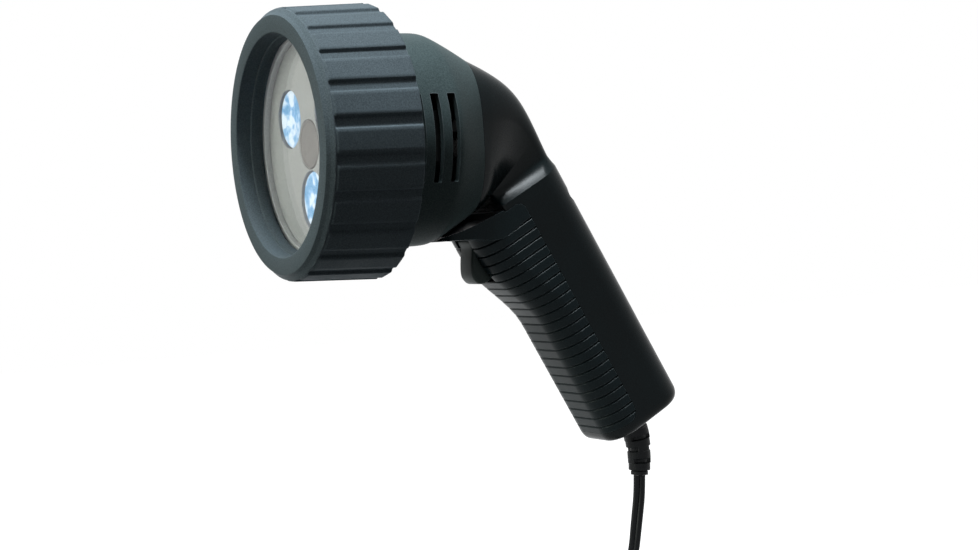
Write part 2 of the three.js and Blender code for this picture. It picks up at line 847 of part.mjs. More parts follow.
function handleBody() {
    const rings = [];
    for (let i = 0; i <= neckBands; i += 1) {
        rings.push(neckRing(i / neckBands));
    }
    rings.push(...flareShares.map(flareRing));
    rings.push(atDepth(palmSection(0, waistFront), shoulderDepth));
    rings.push(atDepth(palmSection(0, waistFront), buttDepth - buttRound));
    let body = toSolid(loft(rings));
    const seat = [...splitOutline(gap), [overrun, gap - insertTop]];
    body = body.add(buttPlate()).subtract(slab(seat, handleHalfWidth + overrun));
    const pocket = palmSection(handleWall, splitPlace - overrun);
    body = body.subtract(toSolid(loft([atDepth(pocket, pocketTop), atDepth(pocket, pocketBottom)])));
    body = body.subtract(duct());
    for (const [x, z] of bowlScrewPlaces()) {
        const hole = disc(screwRadius + gap, bowlBack - overrun, bowlBack + bowlScrewLength, tinySides);
        body = body.subtract(turnToHandle(hole.translate([x, 0, z])));
    }
    for (const [x, depth] of jointScrewPlaces()) {
        const boss = disc(bossRadius, palmFront, screwSeat + handleWall / 2, smallSides);
        body = body.add(boss.translate([x, 0, -depth]));
        const bore = disc(screwRadius + gap, splitPlace - overrun, handleBack + overrun, tinySides)
            .add(disc(screwHeadRadius + gap, screwSeat, handleBack + overrun, smallSides));
        body = body.subtract(bore.translate([x, 0, -depth]));
    }
    const half = postSide / 2;
    for (const depth of [driverTop + postInset, driverBottom - postInset]) {
        body = body.add(block(-half, half, driverPlace + driverThickness + gap, handleBack - handleWall / 2,
            -depth - half, -depth + half));
    }
    return toMesh('handle_body', body.subtract(reliefHole()), handlePlastic);
}

// The way through the neck for the leads
function duct() {
    const points = [[bowlBack - overrun, 0]];
    for (let i = 0; i <= neckBands; i += 2) {
        points.push(neckMiddle(i / neckBands));
    }
    points.push(toHead((waistFront + handleBack) / 2, pocketTop + overrun));
    return toSolid(tube(points.map(([y, z]) => [0, ...toHandle(y, z)]), ductRadius, tinySides, tinySides));
}

function fingerFront(depth) {
    const share = THREE.MathUtils.clamp((depth - insertTop - fingerStraight) / fingerEase, 0, 1);
    const next = Math.max(fingerEaseShares.findIndex(([along]) => share <= along), 1);
    const [along0, in0] = fingerEaseShares[next - 1];
    const [along1, in1] = fingerEaseShares[next];
    const eased = THREE.MathUtils.mapLinear(share, along0, along1, in0, in1);
    return THREE.MathUtils.lerp(fingerSideFront, handleFront, eased);
}

// The finger side's section: round in front, square at the split
function fingerRing(depth, inset, back) {
    const halfWidth = handleHalfWidth - inset;
    const front = fingerFront(depth) + inset;
    const round = frontCorner - inset;
    const points = [new THREE.Vector3(halfWidth, back, -depth)];
    for (let side = 0; side < 2; side += 1) {
        const x = (side ? -1 : 1) * (halfWidth - round);
        for (let step = 0; step <= fingerSteps; step += 1) {
            const angle = -(turn * (side + step / fingerSteps)) / 4;
            points.push(new THREE.Vector3(x + round * Math.cos(angle), front + round + round * Math.sin(angle), -depth));
        }
    }
    points.push(new THREE.Vector3(-halfWidth, back, -depth));
    return points;
}

// Hood: a side outline and a rounded plan, hollowed to clear the bowl. Its rim rises ahead of the waist
function hood() {
    const wide = handleHalfWidth;
    const outline = hoodShares.map(([along, down]) => [hoodNose + along * hoodLength, -down * bowlRadius]);
    const side = slab(outline, wide + overrun);
    const plan = new THREE.Shape();
    const backEdge = hoodNose + hoodLength + overrun;
    const shoulder = hoodNose + hoodNoseRun;
    const bend = hoodNose + hoodNoseRun / 3;
    const cheek = hoodNose + hoodNoseRun / 8;
    plan.moveTo(wide, backEdge);
    plan.lineTo(wide, shoulder);
    plan.quadraticCurveTo(wide, bend, hoodNoseHalfWidth, cheek);
    plan.quadraticCurveTo(0, hoodNose - hoodNoseRun / 8, -hoodNoseHalfWidth, cheek);
    plan.quadraticCurveTo(-wide, bend, -wide, shoulder);
    plan.lineTo(-wide, backEdge);
    const tall = 2 * bowlRadius;
    const column = new THREE.ExtrudeGeometry(plan, { depth: tall, bevelEnabled: false, curveSegments: cornerSteps });
    column.translate(0, 0, -tall);
    const envelope = bowlSkin(-hoodClearance, bezelLength, bowlBack + gap);
    return turnToHandle(side.intersect(toSolid(column)).subtract(envelope));
}

// The grooved skin of the finger side
function fingerSkin() {
    const rings = [fingerRing(insertTop, 0, splitPlace)];
    for (let i = 0; i < grooveCount; i += 1) {
        const depth = grooveFirst + groovePitch * i;
        rings.push(fingerRing(depth - grooveHalfWidth, 0, splitPlace));
        rings.push(fingerRing(depth, grooveDepth, splitPlace));
        rings.push(fingerRing(depth + grooveHalfWidth, 0, splitPlace));
    }
    rings.push(fingerRing(insertBottom, 0, splitPlace));
    return toSolid(loft(rings));
}

// The hollow behind the finger side
function fingerPocket() {
    const depths = [pocketTop];
    for (const [along] of fingerEaseShares) {
        depths.push(insertTop + fingerStraight + along * fingerEase);
    }
    depths.push(pocketBottom);
    return toSolid(loft(depths.map((depth) => fingerRing(depth, handleWall, splitPlace + overrun))));
}

// A rod across the handle at the trigger's pivot
function pivotRod(radius, halfLength) {
    return toSolid(new THREE.CylinderGeometry(radius, radius, 2 * halfLength, tinySides)
        .rotateZ(turn / 4).translate(0, pivotPlace, -pivotDepth));
}

function gripInsert() {
    const rim = waistFront - gap;
    const outline = [...splitOutline(0), [overrun, -waistDepth], [rim, -waistDepth], [rim, -insertTop]];
    let body = fingerSkin().add(hood()).intersect(slab(outline, handleHalfWidth + overrun));
    body = body.subtract(fingerPocket());
    const slotHalf = triggerHalfWidth + triggerMargin;
    const ear = block(slotHalf, slotHalf + earThickness, fingerSideFront + handleWall / 2, pivotPlace + earRadius,
        -pivotDepth - earRadius, -pocketTop + handleWall / 2);
    body = body.add(ear).add(ear.translate([-2 * slotHalf - earThickness, 0, 0]));
    body = body.subtract(block(-slotHalf, slotHalf, triggerFront - overrun, switchFront,
        -(triggerTop + triggerLength + triggerTravelRoom), -(triggerTop - gap)));
    const wallInside = handleHalfWidth - handleWall / 2;
    for (const depth of [switchTop - gap - shelfThickness, switchTop + switchHeight + gap]) {
        const shelf = block(slotHalf + gap, wallInside, switchFront, switchFront + switchThickness,
            -depth - shelfThickness, -depth);
        body = body.add(shelf).add(shelf.translate([-wallInside - slotHalf - gap, 0, 0]));
    }
    for (const [x, depth] of jointScrewPlaces()) {
        const front = fingerFront(depth) + handleWall / 2;
        body = body.add(disc(bossRadius, front, splitPlace, smallSides).translate([x, 0, -depth]));
        const reach = screwSeat - jointScrewLength - 2 * gap;
        body = body.subtract(disc(screwRadius + gap, reach, splitPlace + overrun, tinySides)
            .translate([x, 0, -depth]));
    }
    body = body.subtract(pivotRod(pivotRadius + gap, slotHalf + earThickness + gap));
    return toMesh('grip_insert', body.subtract(reliefHole()), gripRubber);
}

function jointScrews() {
    return jointScrewPlaces().map(([x, depth], i) => {
        const turned = screw(jointScrewLength).rotate([180, 0, 0]).translate([x, screwSeat + gap, -depth]);
        return toMesh(`grip_screw_${i + 1}`, turned, steel);
    });
}

function trigger() {
    const outline = triggerShares.map(([back, down]) => [
        triggerFront + back * triggerThickness, -(triggerTop + down * triggerLength),
    ]);
    const lever = slab(outline, triggerHalfWidth, triggerBevel);
    const backOfLever = triggerFront + triggerThickness / 2;
    const plunger = disc(plungerRadius, backOfLever, switchFront + plungerLength / 4, tinySides);
    const body = lever.add(plunger.translate([0, 0, -plungerDepth]));
    return toMesh('trigger', body.subtract(pivotRod(pivotRadius + gap, 2 * triggerHalfWidth)), triggerPlastic);
}

function triggerPin() {
    return toMesh('trigger_pin', pivotRod(pivotRadius, triggerHalfWidth + triggerMargin + earThickness), steel);
}

function triggerSwitch() {
    const half = switchWidth / 2;
    const back = switchFront + switchThickness;
    const body = block(-half, half, switchFront + gap, back, -(switchTop + switchHeight), -switchTop);
    const socket = block(-switchSocket, switchSocket, switchFront - overrun, back - handleWall,
        -plungerDepth - switchSocket, -plungerDepth + switchSocket);
    return toMesh('trigger_switch', body.subtract(socket), handlePlastic);
}

function driverParts() {
    const face = driverPlace - gap;
    const half = (driverLength * chipSizeShare) / 2;
    const chokeRadius = driverLength * chokeRadiusShare;
    const chokeWaist = chokeRadius * chokeWaistShare;
    const capRadius = driverLength * capRadiusShare;
    const atShare = (share) => THREE.MathUtils.lerp(driverTop, driverBottom, share);
    const plate = block(-driverHalfWidth, driverHalfWidth, driverPlace, driverPlace + driverThickness, -driverBottom,
        -driverTop);
    const chips = chipPlaceShares.map((share) => block(-half, half, driverPlace - chipHeight, driverPlace + gap,
        -atShare(share) - half, -atShare(share) + half));
    const choke = revolve([
        [0, face - chokeHeight],
        [chokeRadius, face - chokeHeight],
        [chokeRadius, face - chokeHeight + chokeFlange],
        [chokeWaist, face - chokeHeight + chokeFlange],
        [chokeWaist, face - chokeFlange],
        [chokeRadius, face - chokeFlange],
        [chokeRadius, face],
        [0, face],
    ], smallSides).translate([0, 0, -atShare(chokePlaceShare)]);
    const capacitor = disc(capRadius, face - capHeight, face, smallSides).translate([0, 0, -atShare(capPlaceShare)]);
    return [
        toMesh('driver_board', union([plate, ...chips]), boardGreen),
        toMesh('driver_coil', choke, copper),
        toMesh('driver_capacitor', capacitor, aluminium),
    ];
}

// The lead from the board, over the fan, through the neck and down to the driver's top edge
function ledLead() {
    const bend = leadBendShares.map(([along, up]) => [
        THREE.MathUtils.lerp(bowlShoulder, bowlBack, along), up * leadHeight,
    ]);
    const neck = [];
    for (let i = 0; i <= neckBands; i += 2) {
        neck.push(neckMiddle(i / neckBands));
    }
    const points = [[boardFront, leadHeight], [fanFront, leadHeight], ...bend, ...neck]
        .map(([y, z]) => [0, ...toHandle(y, z)]);
    const edge = driverPlace + driverThickness / 2;
    points.push([0, edge, -(driverTop - gap - 4 * leadRadius)], [0, edge, -(driverTop - gap)]);
    return toMesh('led_lead', toSolid(tube(points, leadRadius, smallSides, leadSides)), leadVinyl);
}

// The supply cord's end, from the strain relief to the driver's face
function cordTail() {
    const face = driverPlace - gap - leadRadius;
    const start = reliefDepth - leadRadius;
    const points = [
        [0, reliefPlace, -start],
        [0, reliefPlace + leadRadius, -(start - leadRadius)],
        [0, face - leadRadius, -(start - tailRise + 2 * leadRadius)],
        [0, face, -(start - tailRise)],
    ];
    return toMesh('cord_tail', toSolid(tube(points, leadRadius, tinySides, leadSides)), cordVinyl);
}

// Strain relief: a tapered boot with ribs, bending from the handle's line towards the cord's
function strainRelief() {
    const [, endY, endZ] = cordPoints[0];
    const [, nextY, nextZ] = cordPoints[1];
    const run = Math.hypot(nextY - endY, nextZ - endZ);
    const endDirection = [(nextY - endY) / run, (nextZ - endZ) / run];
    const buttRun = buttDepth - reliefDepth;
    const from = new THREE.Vector3(0, ...toHead(reliefPlace, reliefDepth));
    const down = new THREE.Vector3(0, Math.sin(rake), -Math.cos(rake));
    const mouth = from.clone().addScaledVector(down, buttRun);
    const to = new THREE.Vector3(0, endY - gap * endDirection[0], endZ - gap * endDirection[1]);
    const third = mouth.distanceTo(to) / 3;
    const curve = new THREE.CurvePath();
    curve.add(new THREE.LineCurve3(from, mouth));
    curve.add(new THREE.CubicBezierCurve3(
        mouth,
        mouth.clone().addScaledVector(down, third),
        new THREE.Vector3(0, to.y - third * endDirection[0], to.z - third * endDirection[1]),
        to,
    ));
    const stations = [[0, reliefFlange], [reliefFlangeLength, reliefFlange], [reliefFlangeLength, reliefTop],
        [buttRun, reliefTop]];
    const total = curve.getLength();
    const ribRun = (total - buttRun) / reliefRibs;
    for (let i = 0; i < reliefRibs; i += 1) {
        const place = buttRun + ribRun * i;
        const radius = THREE.MathUtils.lerp(reliefTop, reliefEnd, i / (reliefRibs - 1));
        stations.push([place + ribRun / 8, radius]);
        stations.push([place + (5 * ribRun) / 8, radius]);
        if (i + 1 < reliefRibs) {
            stations.push([place + (6 * ribRun) / 8, radius - reliefRibDepth]);
            stations.push([place + ribRun, radius - reliefRibDepth]);
        } else {
            stations.push([total, radius - reliefRibDepth]);
        }
    }
    const rings = stations.map(([place, radius]) => {
        const share = Math.min(place / total, 1);
        const centre = curve.getPointAt(share);
        const forward = curve.getTangentAt(share);
        const side = new THREE.Vector3(0, forward.z, -forward.y);
        const points = [];
        for (let i = 0; i < reliefSides; i += 1) {
            const angle = (turn * i) / reliefSides;
            points.push(centre.clone()
                .addScaledVector(new THREE.Vector3(1, 0, 0), radius * Math.cos(angle))
                .addScaledVector(side, radius * Math.sin(angle)));
        }
        return points;
    });
    return toMesh('strain_relief', toSolid(loft(rings)), cordVinyl);
}

function cordHanging() {
    return toMesh('cord_hanging', toSolid(tube(cordPoints, cordDiameter / 2, cordSteps, cordSides)), cordVinyl);
}

// The coil's centre line, with a straight run at each end. It enters at the top and leaves down the back
function coilLine() {
    const [startX, startY, startZ] = cordPoints.at(-1);
    const entry = [Math.sin(coilStart), -Math.cos(coilStart)];
    const run = gap + cordDiameter;
    const centreY = startY + run * entry[0] - coilOuter * Math.cos(coilStart);
    const centreZ = startZ + run * entry[1] - coilOuter * Math.sin(coilStart);
    const total = coilLayers * coilTurnsPerLayer;
    const count = Math.round(total * coilSteps);
    const line = [[startX, startY + gap * entry[0], startZ + gap * entry[1]]];
    for (let i = 0; i <= count; i += 1) {
        const turns = (i * total) / count;
        const layer = Math.min(Math.floor(turns / coilTurnsPerLayer), coilLayers - 1);
        const within = turns - layer * coilTurnsPerLayer;
        const wound = layer % 2 === 0 ? within : coilTurnsPerLayer - within;
        let climb = 0;
        for (let k = 1; k < coilLayers; k += 1) {
            climb += THREE.MathUtils.clamp(2 * (turns - k * coilTurnsPerLayer) + 1 / 2, 0, 1);
        }
        const radius = coilOuter - coilPitch * wound;
        const angle = coilStart - turn * turns;
        line.push([
            startX + coilPitch * climb,
            centreY + radius * Math.cos(angle),
            centreZ + radius * Math.sin(angle),
        ]);
    }
    const [lastX, lastY, lastZ] = line.at(-1);
    const [, beforeY, beforeZ] = line.at(-2);
    const stride = Math.hypot(lastY - beforeY, lastZ - beforeZ);
    const out = [(lastY - beforeY) / stride, (lastZ - beforeZ) / stride];
    for (const reach of [coilTail, coilTail + cordDiameter]) {
        line.push([lastX, lastY + reach * out[0], lastZ + reach * out[1]]);
    }
    return { line, out, centreY, centreZ, startX };
}

// Rings square to a line of points, kept from twisting by the coil's axis
function lineTube(line, radius, sides) {
    const points = line.map(([x, y, z]) => new THREE.Vector3(x, y, z));
    const rings = points.map((point, i) => {
        const before = points[Math.max(i - 1, 0)];
        const after = points[Math.min(i + 1, points.length - 1)];
        const forward = after.clone().sub(before).normalize();
        const side = new THREE.Vector3(1, 0, 0).addScaledVector(forward, -forward.x).normalize();
        const up = forward.clone().cross(side);
        const corners = [];
        for (let k = 0; k < sides; k += 1) {
            const angle = (turn * k) / sides;
            corners.push(point.clone()
                .addScaledVector(side, radius * Math.cos(angle))
                .addScaledVector(up, radius * Math.sin(angle)));
        }
        return corners;
    });
    return loft(rings);
}

// The least distance between stretches of the coil that aren't neighbours, less a diameter
function leastGap(line) {
    let least = Infinity;
    const points = line.map(([x, y, z]) => new THREE.Vector3(x, y, z));
    for (let i = 0; i < points.length; i += 1) {
        for (let j = i + coilSteps / 2; j + 1 < points.length; j += 1) {
            const segment = new THREE.Line3(points[j], points[j + 1]);
            const nearest = segment.closestPointToPoint(points[i], true, new THREE.Vector3());
            least = Math.min(least, nearest.distanceTo(points[i]));
        }
    }
    return least - cordDiameter;
}

function cordCoil() {
    const { line } = coilLine();
    console.log(`least gap of the coil to itself: ${leastGap(line).toFixed(2)} mm`);
    return toMesh('cord_coil', toSolid(lineTube(line, cordDiameter / 2, coilSides)), cordVinyl);
}

// Tie: a band round all the turns where it crosses them, as loose as its margin
function coilTie() {
    const { line, centreY, centreZ } = coilLine();
    const half = cordDiameter / 2;
    const wide = tieWidth / 2;
    const low = new THREE.Vector2(Infinity, Infinity);
    const high = new THREE.Vector2(-Infinity, -Infinity);
    for (const [x, y, z] of line) {
        const out = (y - centreY) * Math.cos(tieAngle) + (z - centreZ) * Math.sin(tieAngle);
        const across = (z - centreZ) * Math.cos(tieAngle) - (y - centreY) * Math.sin(tieAngle);
        if (out > 0 && Math.abs(across) < tieWidth) {
            low.min(new THREE.Vector2(x, out));
            high.max(new THREE.Vector2(x, out));
        }
    }
    low.addScalar(-half - tieMargin);
    high.addScalar(half + tieMargin);
    const outer = block(low.x - tieThickness, high.x + tieThickness, low.y - tieThickness, high.y + tieThickness,
        -wide, wide);
    const hole = block(low.x, high.x, low.y, high.y, -wide - overrun, wide + overrun);
    const body = outer.subtract(hole).rotate([THREE.MathUtils.radToDeg(tieAngle), 0, 0])
        .translate([0, centreY, centreZ]);
    return toMesh('coil_tie', body, gripRubber);
}

function connector() {
    const { line, out } = coilLine();
    const [x, y, z] = line.at(-1);
    const profile = [
        [0, gap], [connectorNeckRadius, gap], [connectorNeckRadius, connectorNeck - gap],
        [connectorRadius, connectorNeck + gap], [connectorRadius, connectorLength], [0, connectorLength],
    ];
    const reach = connectorLength + gap + barrelLength;
    const barrel = revolve([
        [barrelBore, connectorLength + gap + barrelLength / 2], [barrelBore, reach], [barrelRadius, reach],
        [barrelRadius, connectorLength + gap], [0, connectorLength + gap],
        [0, connectorLength + gap + barrelLength / 2],
    ], smallSides);
    const turnAngle = THREE.MathUtils.radToDeg(Math.atan2(out[1], out[0]));
    const place = (solid) => solid.rotate([turnAngle, 0, 0]).translate([x, y, z]);
    return [
        toMesh('connector_body', place(revolve(profile, smallSides)), cordVinyl),
        toMesh('connector_barrel', place(barrel), steel),
    ];
}

// The lamp
const lamp = new THREE.Group();
const head = new THREE.Group();
const handle = new THREE.Group();
handle.rotation.x = rake;
head.add(
    bezelRing(), frontGlass(), glassGasket(), reflectorPlate(), ...optics(), ledBoard(), heatSink(), fanFrame(),
    fanRotor(), bowlHousing(), ...bowlScrews(), strainRelief(), cordHanging(), cordCoil(), coilTie(),
    ...connector(),
);
handle.add(
    handleBody(), gripInsert(), ...jointScrews(), trigger(), triggerPin(), triggerSwitch(), ...driverParts(),
    ledLead(), cordTail(),
);
head.add(handle);
const [gripY, gripZ] = toHead((handleFront + handleBack) / 2, gripDepth);
head.position.set(0, -gripY, -gripZ);
lamp.add(head);

export default lamp;
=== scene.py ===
"""Hand-held ultraviolet inspection lamp: a round head in a padded bezel, a pistol grip and its supply cord.

Sizes are millimetres in the lamp's two working frames. In the head's frame a point is (x, along, up): along
runs back from the front face on the beam's axis. In the grip's frame it is (x, across, depth): across runs
from the fingers to the palm, and depth runs down the handle. Both turn into the row's frame, in metres, just
before a mesh is made.
"""

import logging
import math
from dataclasses import dataclass, field
from enum import Enum
from typing import Any, Callable, Sequence

import bpy
import numpy as np
from mathutils import Matrix, Vector


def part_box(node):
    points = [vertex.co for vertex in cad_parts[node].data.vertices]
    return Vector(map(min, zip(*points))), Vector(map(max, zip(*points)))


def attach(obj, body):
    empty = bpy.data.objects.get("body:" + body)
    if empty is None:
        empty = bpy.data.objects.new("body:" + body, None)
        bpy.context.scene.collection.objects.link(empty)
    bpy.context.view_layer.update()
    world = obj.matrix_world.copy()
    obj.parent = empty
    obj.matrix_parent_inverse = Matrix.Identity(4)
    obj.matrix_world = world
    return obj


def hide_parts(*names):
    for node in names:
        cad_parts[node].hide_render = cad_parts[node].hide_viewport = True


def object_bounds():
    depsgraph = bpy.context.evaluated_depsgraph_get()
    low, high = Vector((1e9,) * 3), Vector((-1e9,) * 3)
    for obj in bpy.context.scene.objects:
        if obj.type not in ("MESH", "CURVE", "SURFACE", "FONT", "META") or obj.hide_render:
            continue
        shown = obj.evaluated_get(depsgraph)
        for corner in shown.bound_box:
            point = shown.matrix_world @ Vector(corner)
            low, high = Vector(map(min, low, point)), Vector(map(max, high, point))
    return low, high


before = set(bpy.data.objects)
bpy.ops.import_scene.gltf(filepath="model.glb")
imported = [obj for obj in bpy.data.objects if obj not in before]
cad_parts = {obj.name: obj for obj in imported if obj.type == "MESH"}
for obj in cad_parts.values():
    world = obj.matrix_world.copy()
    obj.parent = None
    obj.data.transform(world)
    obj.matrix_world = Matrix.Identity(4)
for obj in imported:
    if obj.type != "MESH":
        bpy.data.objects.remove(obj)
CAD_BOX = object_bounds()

log = logging.getLogger("inspection_lamp")

MM = 0.001
TURN = 2 * math.pi
# How far the handle leans to the head's face
RAKE = math.radians(28.1)
# The play between a piece and the one that it sits in, in millimetres
FITTING_GAP = 0.3
# The seam between mouldings that are screwed together, in millimetres, too fine to let light through
CLOSE_SEAM = 0.1

Outline = list[tuple[float, float]]
Place = Callable[[Any], np.ndarray]
Solid = bpy.types.Object
Socket = bpy.types.NodeSocket
Tree = bpy.types.NodeTree


class Body(Enum):
    """The bodies that this scene's own pieces ride on."""

    LAMP = "lamp"
    TRIGGER = "trigger"


class Ends(Enum):
    """How a skin over rings ends."""

    CAPPED = "capped"
    JOINED = "joined"


class Join(Enum):
    """What a second solid does to the first."""

    CUT = "DIFFERENCE"
    ADD = "UNION"
    KEEP = "INTERSECT"


def front_face_middle() -> Vector:
    """Finds the head frame's origin.

    Returns:
        The middle of the bezel's front face, in the row's frame, in metres.
    """
    low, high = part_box("bezel_ring")
    return Vector(((low.x + high.x) / 2, low.y, (low.z + high.z) / 2))


HEAD_ORIGIN = np.array(front_face_middle())


def head_to_row(points: Any) -> np.ndarray:
    """Places points of the head's frame.

    Args:
        points: (x, along, up) points in millimetres, in any array shape ending in 3.

    Returns:
        The same points in the row's frame, in metres.
    """
    return np.asarray(points, float) * MM + HEAD_ORIGIN


def grip_to_head(points: Any) -> np.ndarray:
    """Turns points of the grip's frame into the head's.

    Args:
        points: (x, across, depth) points in millimetres.

    Returns:
        The (x, along, up) points in millimetres.
    """
    points = np.asarray(points, float)
    across, depth = points[..., 1], points[..., 2]
    along = across * math.cos(RAKE) + depth * math.sin(RAKE)
    up = across * math.sin(RAKE) - depth * math.cos(RAKE)
    return np.stack([points[..., 0], along, up], axis=-1)


def head_to_grip(points: Any) -> np.ndarray:
    """Turns points of the head's frame into the grip's.

    Args:
        points: (x, along, up) points in millimetres.

    Returns:
        The (x, across, depth) points in millimetres.
    """
    points = np.asarray(points, float)
    along, up = points[..., 1], points[..., 2]
    across = along * math.cos(RAKE) + up * math.sin(RAKE)
    depth = along * math.sin(RAKE) - up * math.cos(RAKE)
    return np.stack([points[..., 0], across, depth], axis=-1)


def grip_to_row(points: Any) -> np.ndarray:
    """Places (x, across, depth) points of the grip's frame in the row's frame, in metres."""
    return head_to_row(grip_to_head(points))


def mix(low: Any, high: Any, share: Any) -> Any:
    """Returns the value that lies a share of the way from low to high."""
    return low + (high - low) * share


def eased(share: float) -> float:
    """Returns a share from 0 to 1 with a soft start and end."""
    share = min(max(share, 0.0), 1.0)
    return share * share * (3 - 2 * share)


def filleted(corners: Sequence[tuple[float, float, float]], steps: int) -> Outline:
    """Rounds the corners of an outline.

    Args:
        corners: (u, v, radius) corners in order.
        steps: The pieces in each arc.

    Returns:
        The outline's points, with an arc at each corner that has a radius.
    """
    points: Outline = []
    count = len(corners)
    for i, (u, v, radius) in enumerate(corners):
        if radius == 0:
            points.append((u, v))
            continue
        here = Vector((u, v))
        before = (Vector(corners[i - 1][:2]) - here).normalized()
        after = (Vector(corners[(i + 1) % count][:2]) - here).normalized()
        half = before.angle(after) / 2
        centre = here + (before + after).normalized() * (radius / math.sin(half))
        start = here + before * (radius / math.tan(half)) - centre
        end = here + after * (radius / math.tan(half)) - centre
        first = math.atan2(start.y, start.x)
        sweep = (math.atan2(end.y, end.x) - first + math.pi) % TURN - math.pi
        for k in range(steps + 1):
            angle = first + sweep * k / steps
            points.append((centre.x + radius * math.cos(angle), centre.y + radius * math.sin(angle)))
    return points


def rectangle(low_u: float, high_u: float, low_v: float, high_v: float, radius: float = 0.0,
              steps: int = 1) -> Outline:
    """Draws a rectangle, with rounded corners where it has a radius.

    Args:
        low_u: Where it starts along the first coordinate.
        high_u: Where it ends there.
        low_v: Where it starts along the second coordinate.
        high_v: Where it ends there.
        radius: The radius of its corners.
        steps: The pieces in each corner.

    Returns:
        The outline's points.
    """
    corners = [(low_u, low_v), (high_u, low_v), (high_u, high_v), (low_u, high_v)]
    return filleted([(u, v, radius) for u, v in corners], steps)


def spline(points: Sequence[Sequence[float]], per_span: int, closed: bool = False) -> np.ndarray:
    """Draws one smooth curve through points.

    Args:
        points: The points that it passes, in two or three dimensions.
        per_span: The pieces between two neighbours.
        closed: Whether the curve comes back to its start.

    Returns:
        The curve's points.
    """
    known = np.asarray(points, float)
    count = len(known)
    if closed:
        padded = np.vstack([known[-1], known, known[0], known[1]])
        spans = count
    else:
        padded = np.vstack([2 * known[0] - known[1], known, 2 * known[-1] - known[-2]])
        spans = count - 1
    curve = []
    for i in range(spans):
        a, b, c, d = padded[i : i + 4]
        for k in range(per_span):
            t = k / per_span
            curve.append(0.5 * (
                2 * b + (c - a) * t + (2 * a - 5 * b + 4 * c - d) * t**2 + (3 * b - a - 3 * c + d) * t**3
            ))
    if not closed:
        curve.append(known[-1])
    return np.array(curve)


def superellipse(half_width: float, half_depth: float, power: float, count: int) -> np.ndarray:
    """Returns count points of a superellipse, from the +x side round through +y."""
    angle = TURN * (np.arange(count) + 0.5) / count
    c, s = np.cos(angle), np.sin(angle)
    x = half_width * np.sign(c) * np.abs(c) ** (2 / power)
    y = half_depth * np.sign(s) * np.abs(s) ** (2 / power)
    return np.stack([x, y], axis=-1)


def rounded_box(half_width: float, front: float, back: float, front_round: float, back_round: float,
                corner_steps: int) -> np.ndarray:
    """Draws a box section with rounded corners.

    Args:
        half_width: Half its size along x.
        front: Its front place along y.
        back: Its back place along y.
        front_round: The radius of its two front corners.
        back_round: The radius of its two back corners.
        corner_steps: The pieces in each corner.

    Returns:
        The section's points, from the +x side round through the back.
    """
    corners = [
        (half_width - back_round, back - back_round, back_round),
        (back_round - half_width, back - back_round, back_round),
        (front_round - half_width, front + front_round, front_round),
        (half_width - front_round, front + front_round, front_round),
    ]
    points = []
    for quarter, (x, y, radius) in enumerate(corners):
        for step in range(corner_steps + 1):
            angle = TURN * (quarter + step / corner_steps) / 4
            points.append((x + radius * math.cos(angle), y + radius * math.sin(angle)))
    return np.array(points)


def new_object(name: str, points: np.ndarray, faces: list[tuple[int, ...]]) -> Solid:
    """Makes a mesh object with its faces pointing out.

    Args:
        name: The object's name.
        points: Its vertices, in metres.
        faces: Its faces, as vertex numbers.

    Returns:
        The object, linked to the scene.
    """
    mesh = bpy.data.meshes.new(name)
    mesh.from_pydata([tuple(point) for point in points], [], faces)
    mesh.validate()
    obj = bpy.data.objects.new(name, mesh)
    bpy.context.scene.collection.objects.link(obj)
    corner = np.array([v.co for v in mesh.vertices])
    volume = 0.0
    mesh.calc_loop_triangles()
    for triangle in mesh.loop_triangles:
        a, b, c = corner[list(triangle.vertices)]
        volume += float(np.dot(a, np.cross(b, c)))
    if volume < 0:
        mesh.flip_normals()
    return obj


def skin(name: str, rings: np.ndarray, ends: Ends = Ends.CAPPED) -> Solid:
    """Stretches a skin over rings of equal count.

    Args:
        name: The object's name.
        rings: An array of rings, points and coordinates, in metres.
        ends: Whether flat caps close the ends or the last ring joins the first.

    Returns:
        The closed mesh object.
    """
    rings = np.asarray(rings, float)
    rows, count = rings.shape[:2]
    faces: list[tuple[int, ...]] = []
    for row in range(rows if ends is Ends.JOINED else rows - 1):
        here, there = row * count, ((row + 1) % rows) * count
        for i in range(count):
            j = (i + 1) % count
            faces.append((here + i, here + j, there + j, there + i))
    if ends is Ends.CAPPED:
        faces.append(tuple(range(count - 1, -1, -1)))
        faces.append(tuple((rows - 1) * count + i for i in range(count)))
    return new_object(name, rings.reshape(-1, 3), faces)


def revolved(name: str, profile: Sequence[tuple[float, float]], segments: int,
             place: Place = head_to_row) -> Solid:
    """Turns a closed profile about the beam's axis.

    Args:
        name: The object's name.
        profile: (radius, along) points. Those at the two ends may lie on the axis, and then become caps.
        segments: The steps round the axis.
        place: What turns the head's frame into the row's.

    Returns:
        The solid.
    """
    on_axis = profile[0][0] == 0 and profile[-1][0] == 0
    used = list(profile[1:-1]) if on_axis else list(profile)
    angle = TURN * np.arange(segments) / segments
    rings = [np.stack([r * np.cos(angle), np.full(segments, a), r * np.sin(angle)], axis=-1) for r, a in used]
    return skin(name, place(np.array(rings)), Ends.CAPPED if on_axis else Ends.JOINED)


def prism(name: str, outline: Sequence[Sequence[float]], low: float, high: float, place: Place) -> Solid:
    """Thickens an outline of the symmetry plane along x.

    Args:
        name: The object's name.
        outline: Its (second, third) coordinates in the frame that place reads.
        low: Its lowest x.
        high: Its highest x.
        place: What turns that frame into the row's.

    Returns:
        The solid.
    """
    rings = [[(x, u, v) for u, v in outline] for x in (low, high)]
    return skin(name, place(np.array(rings)))


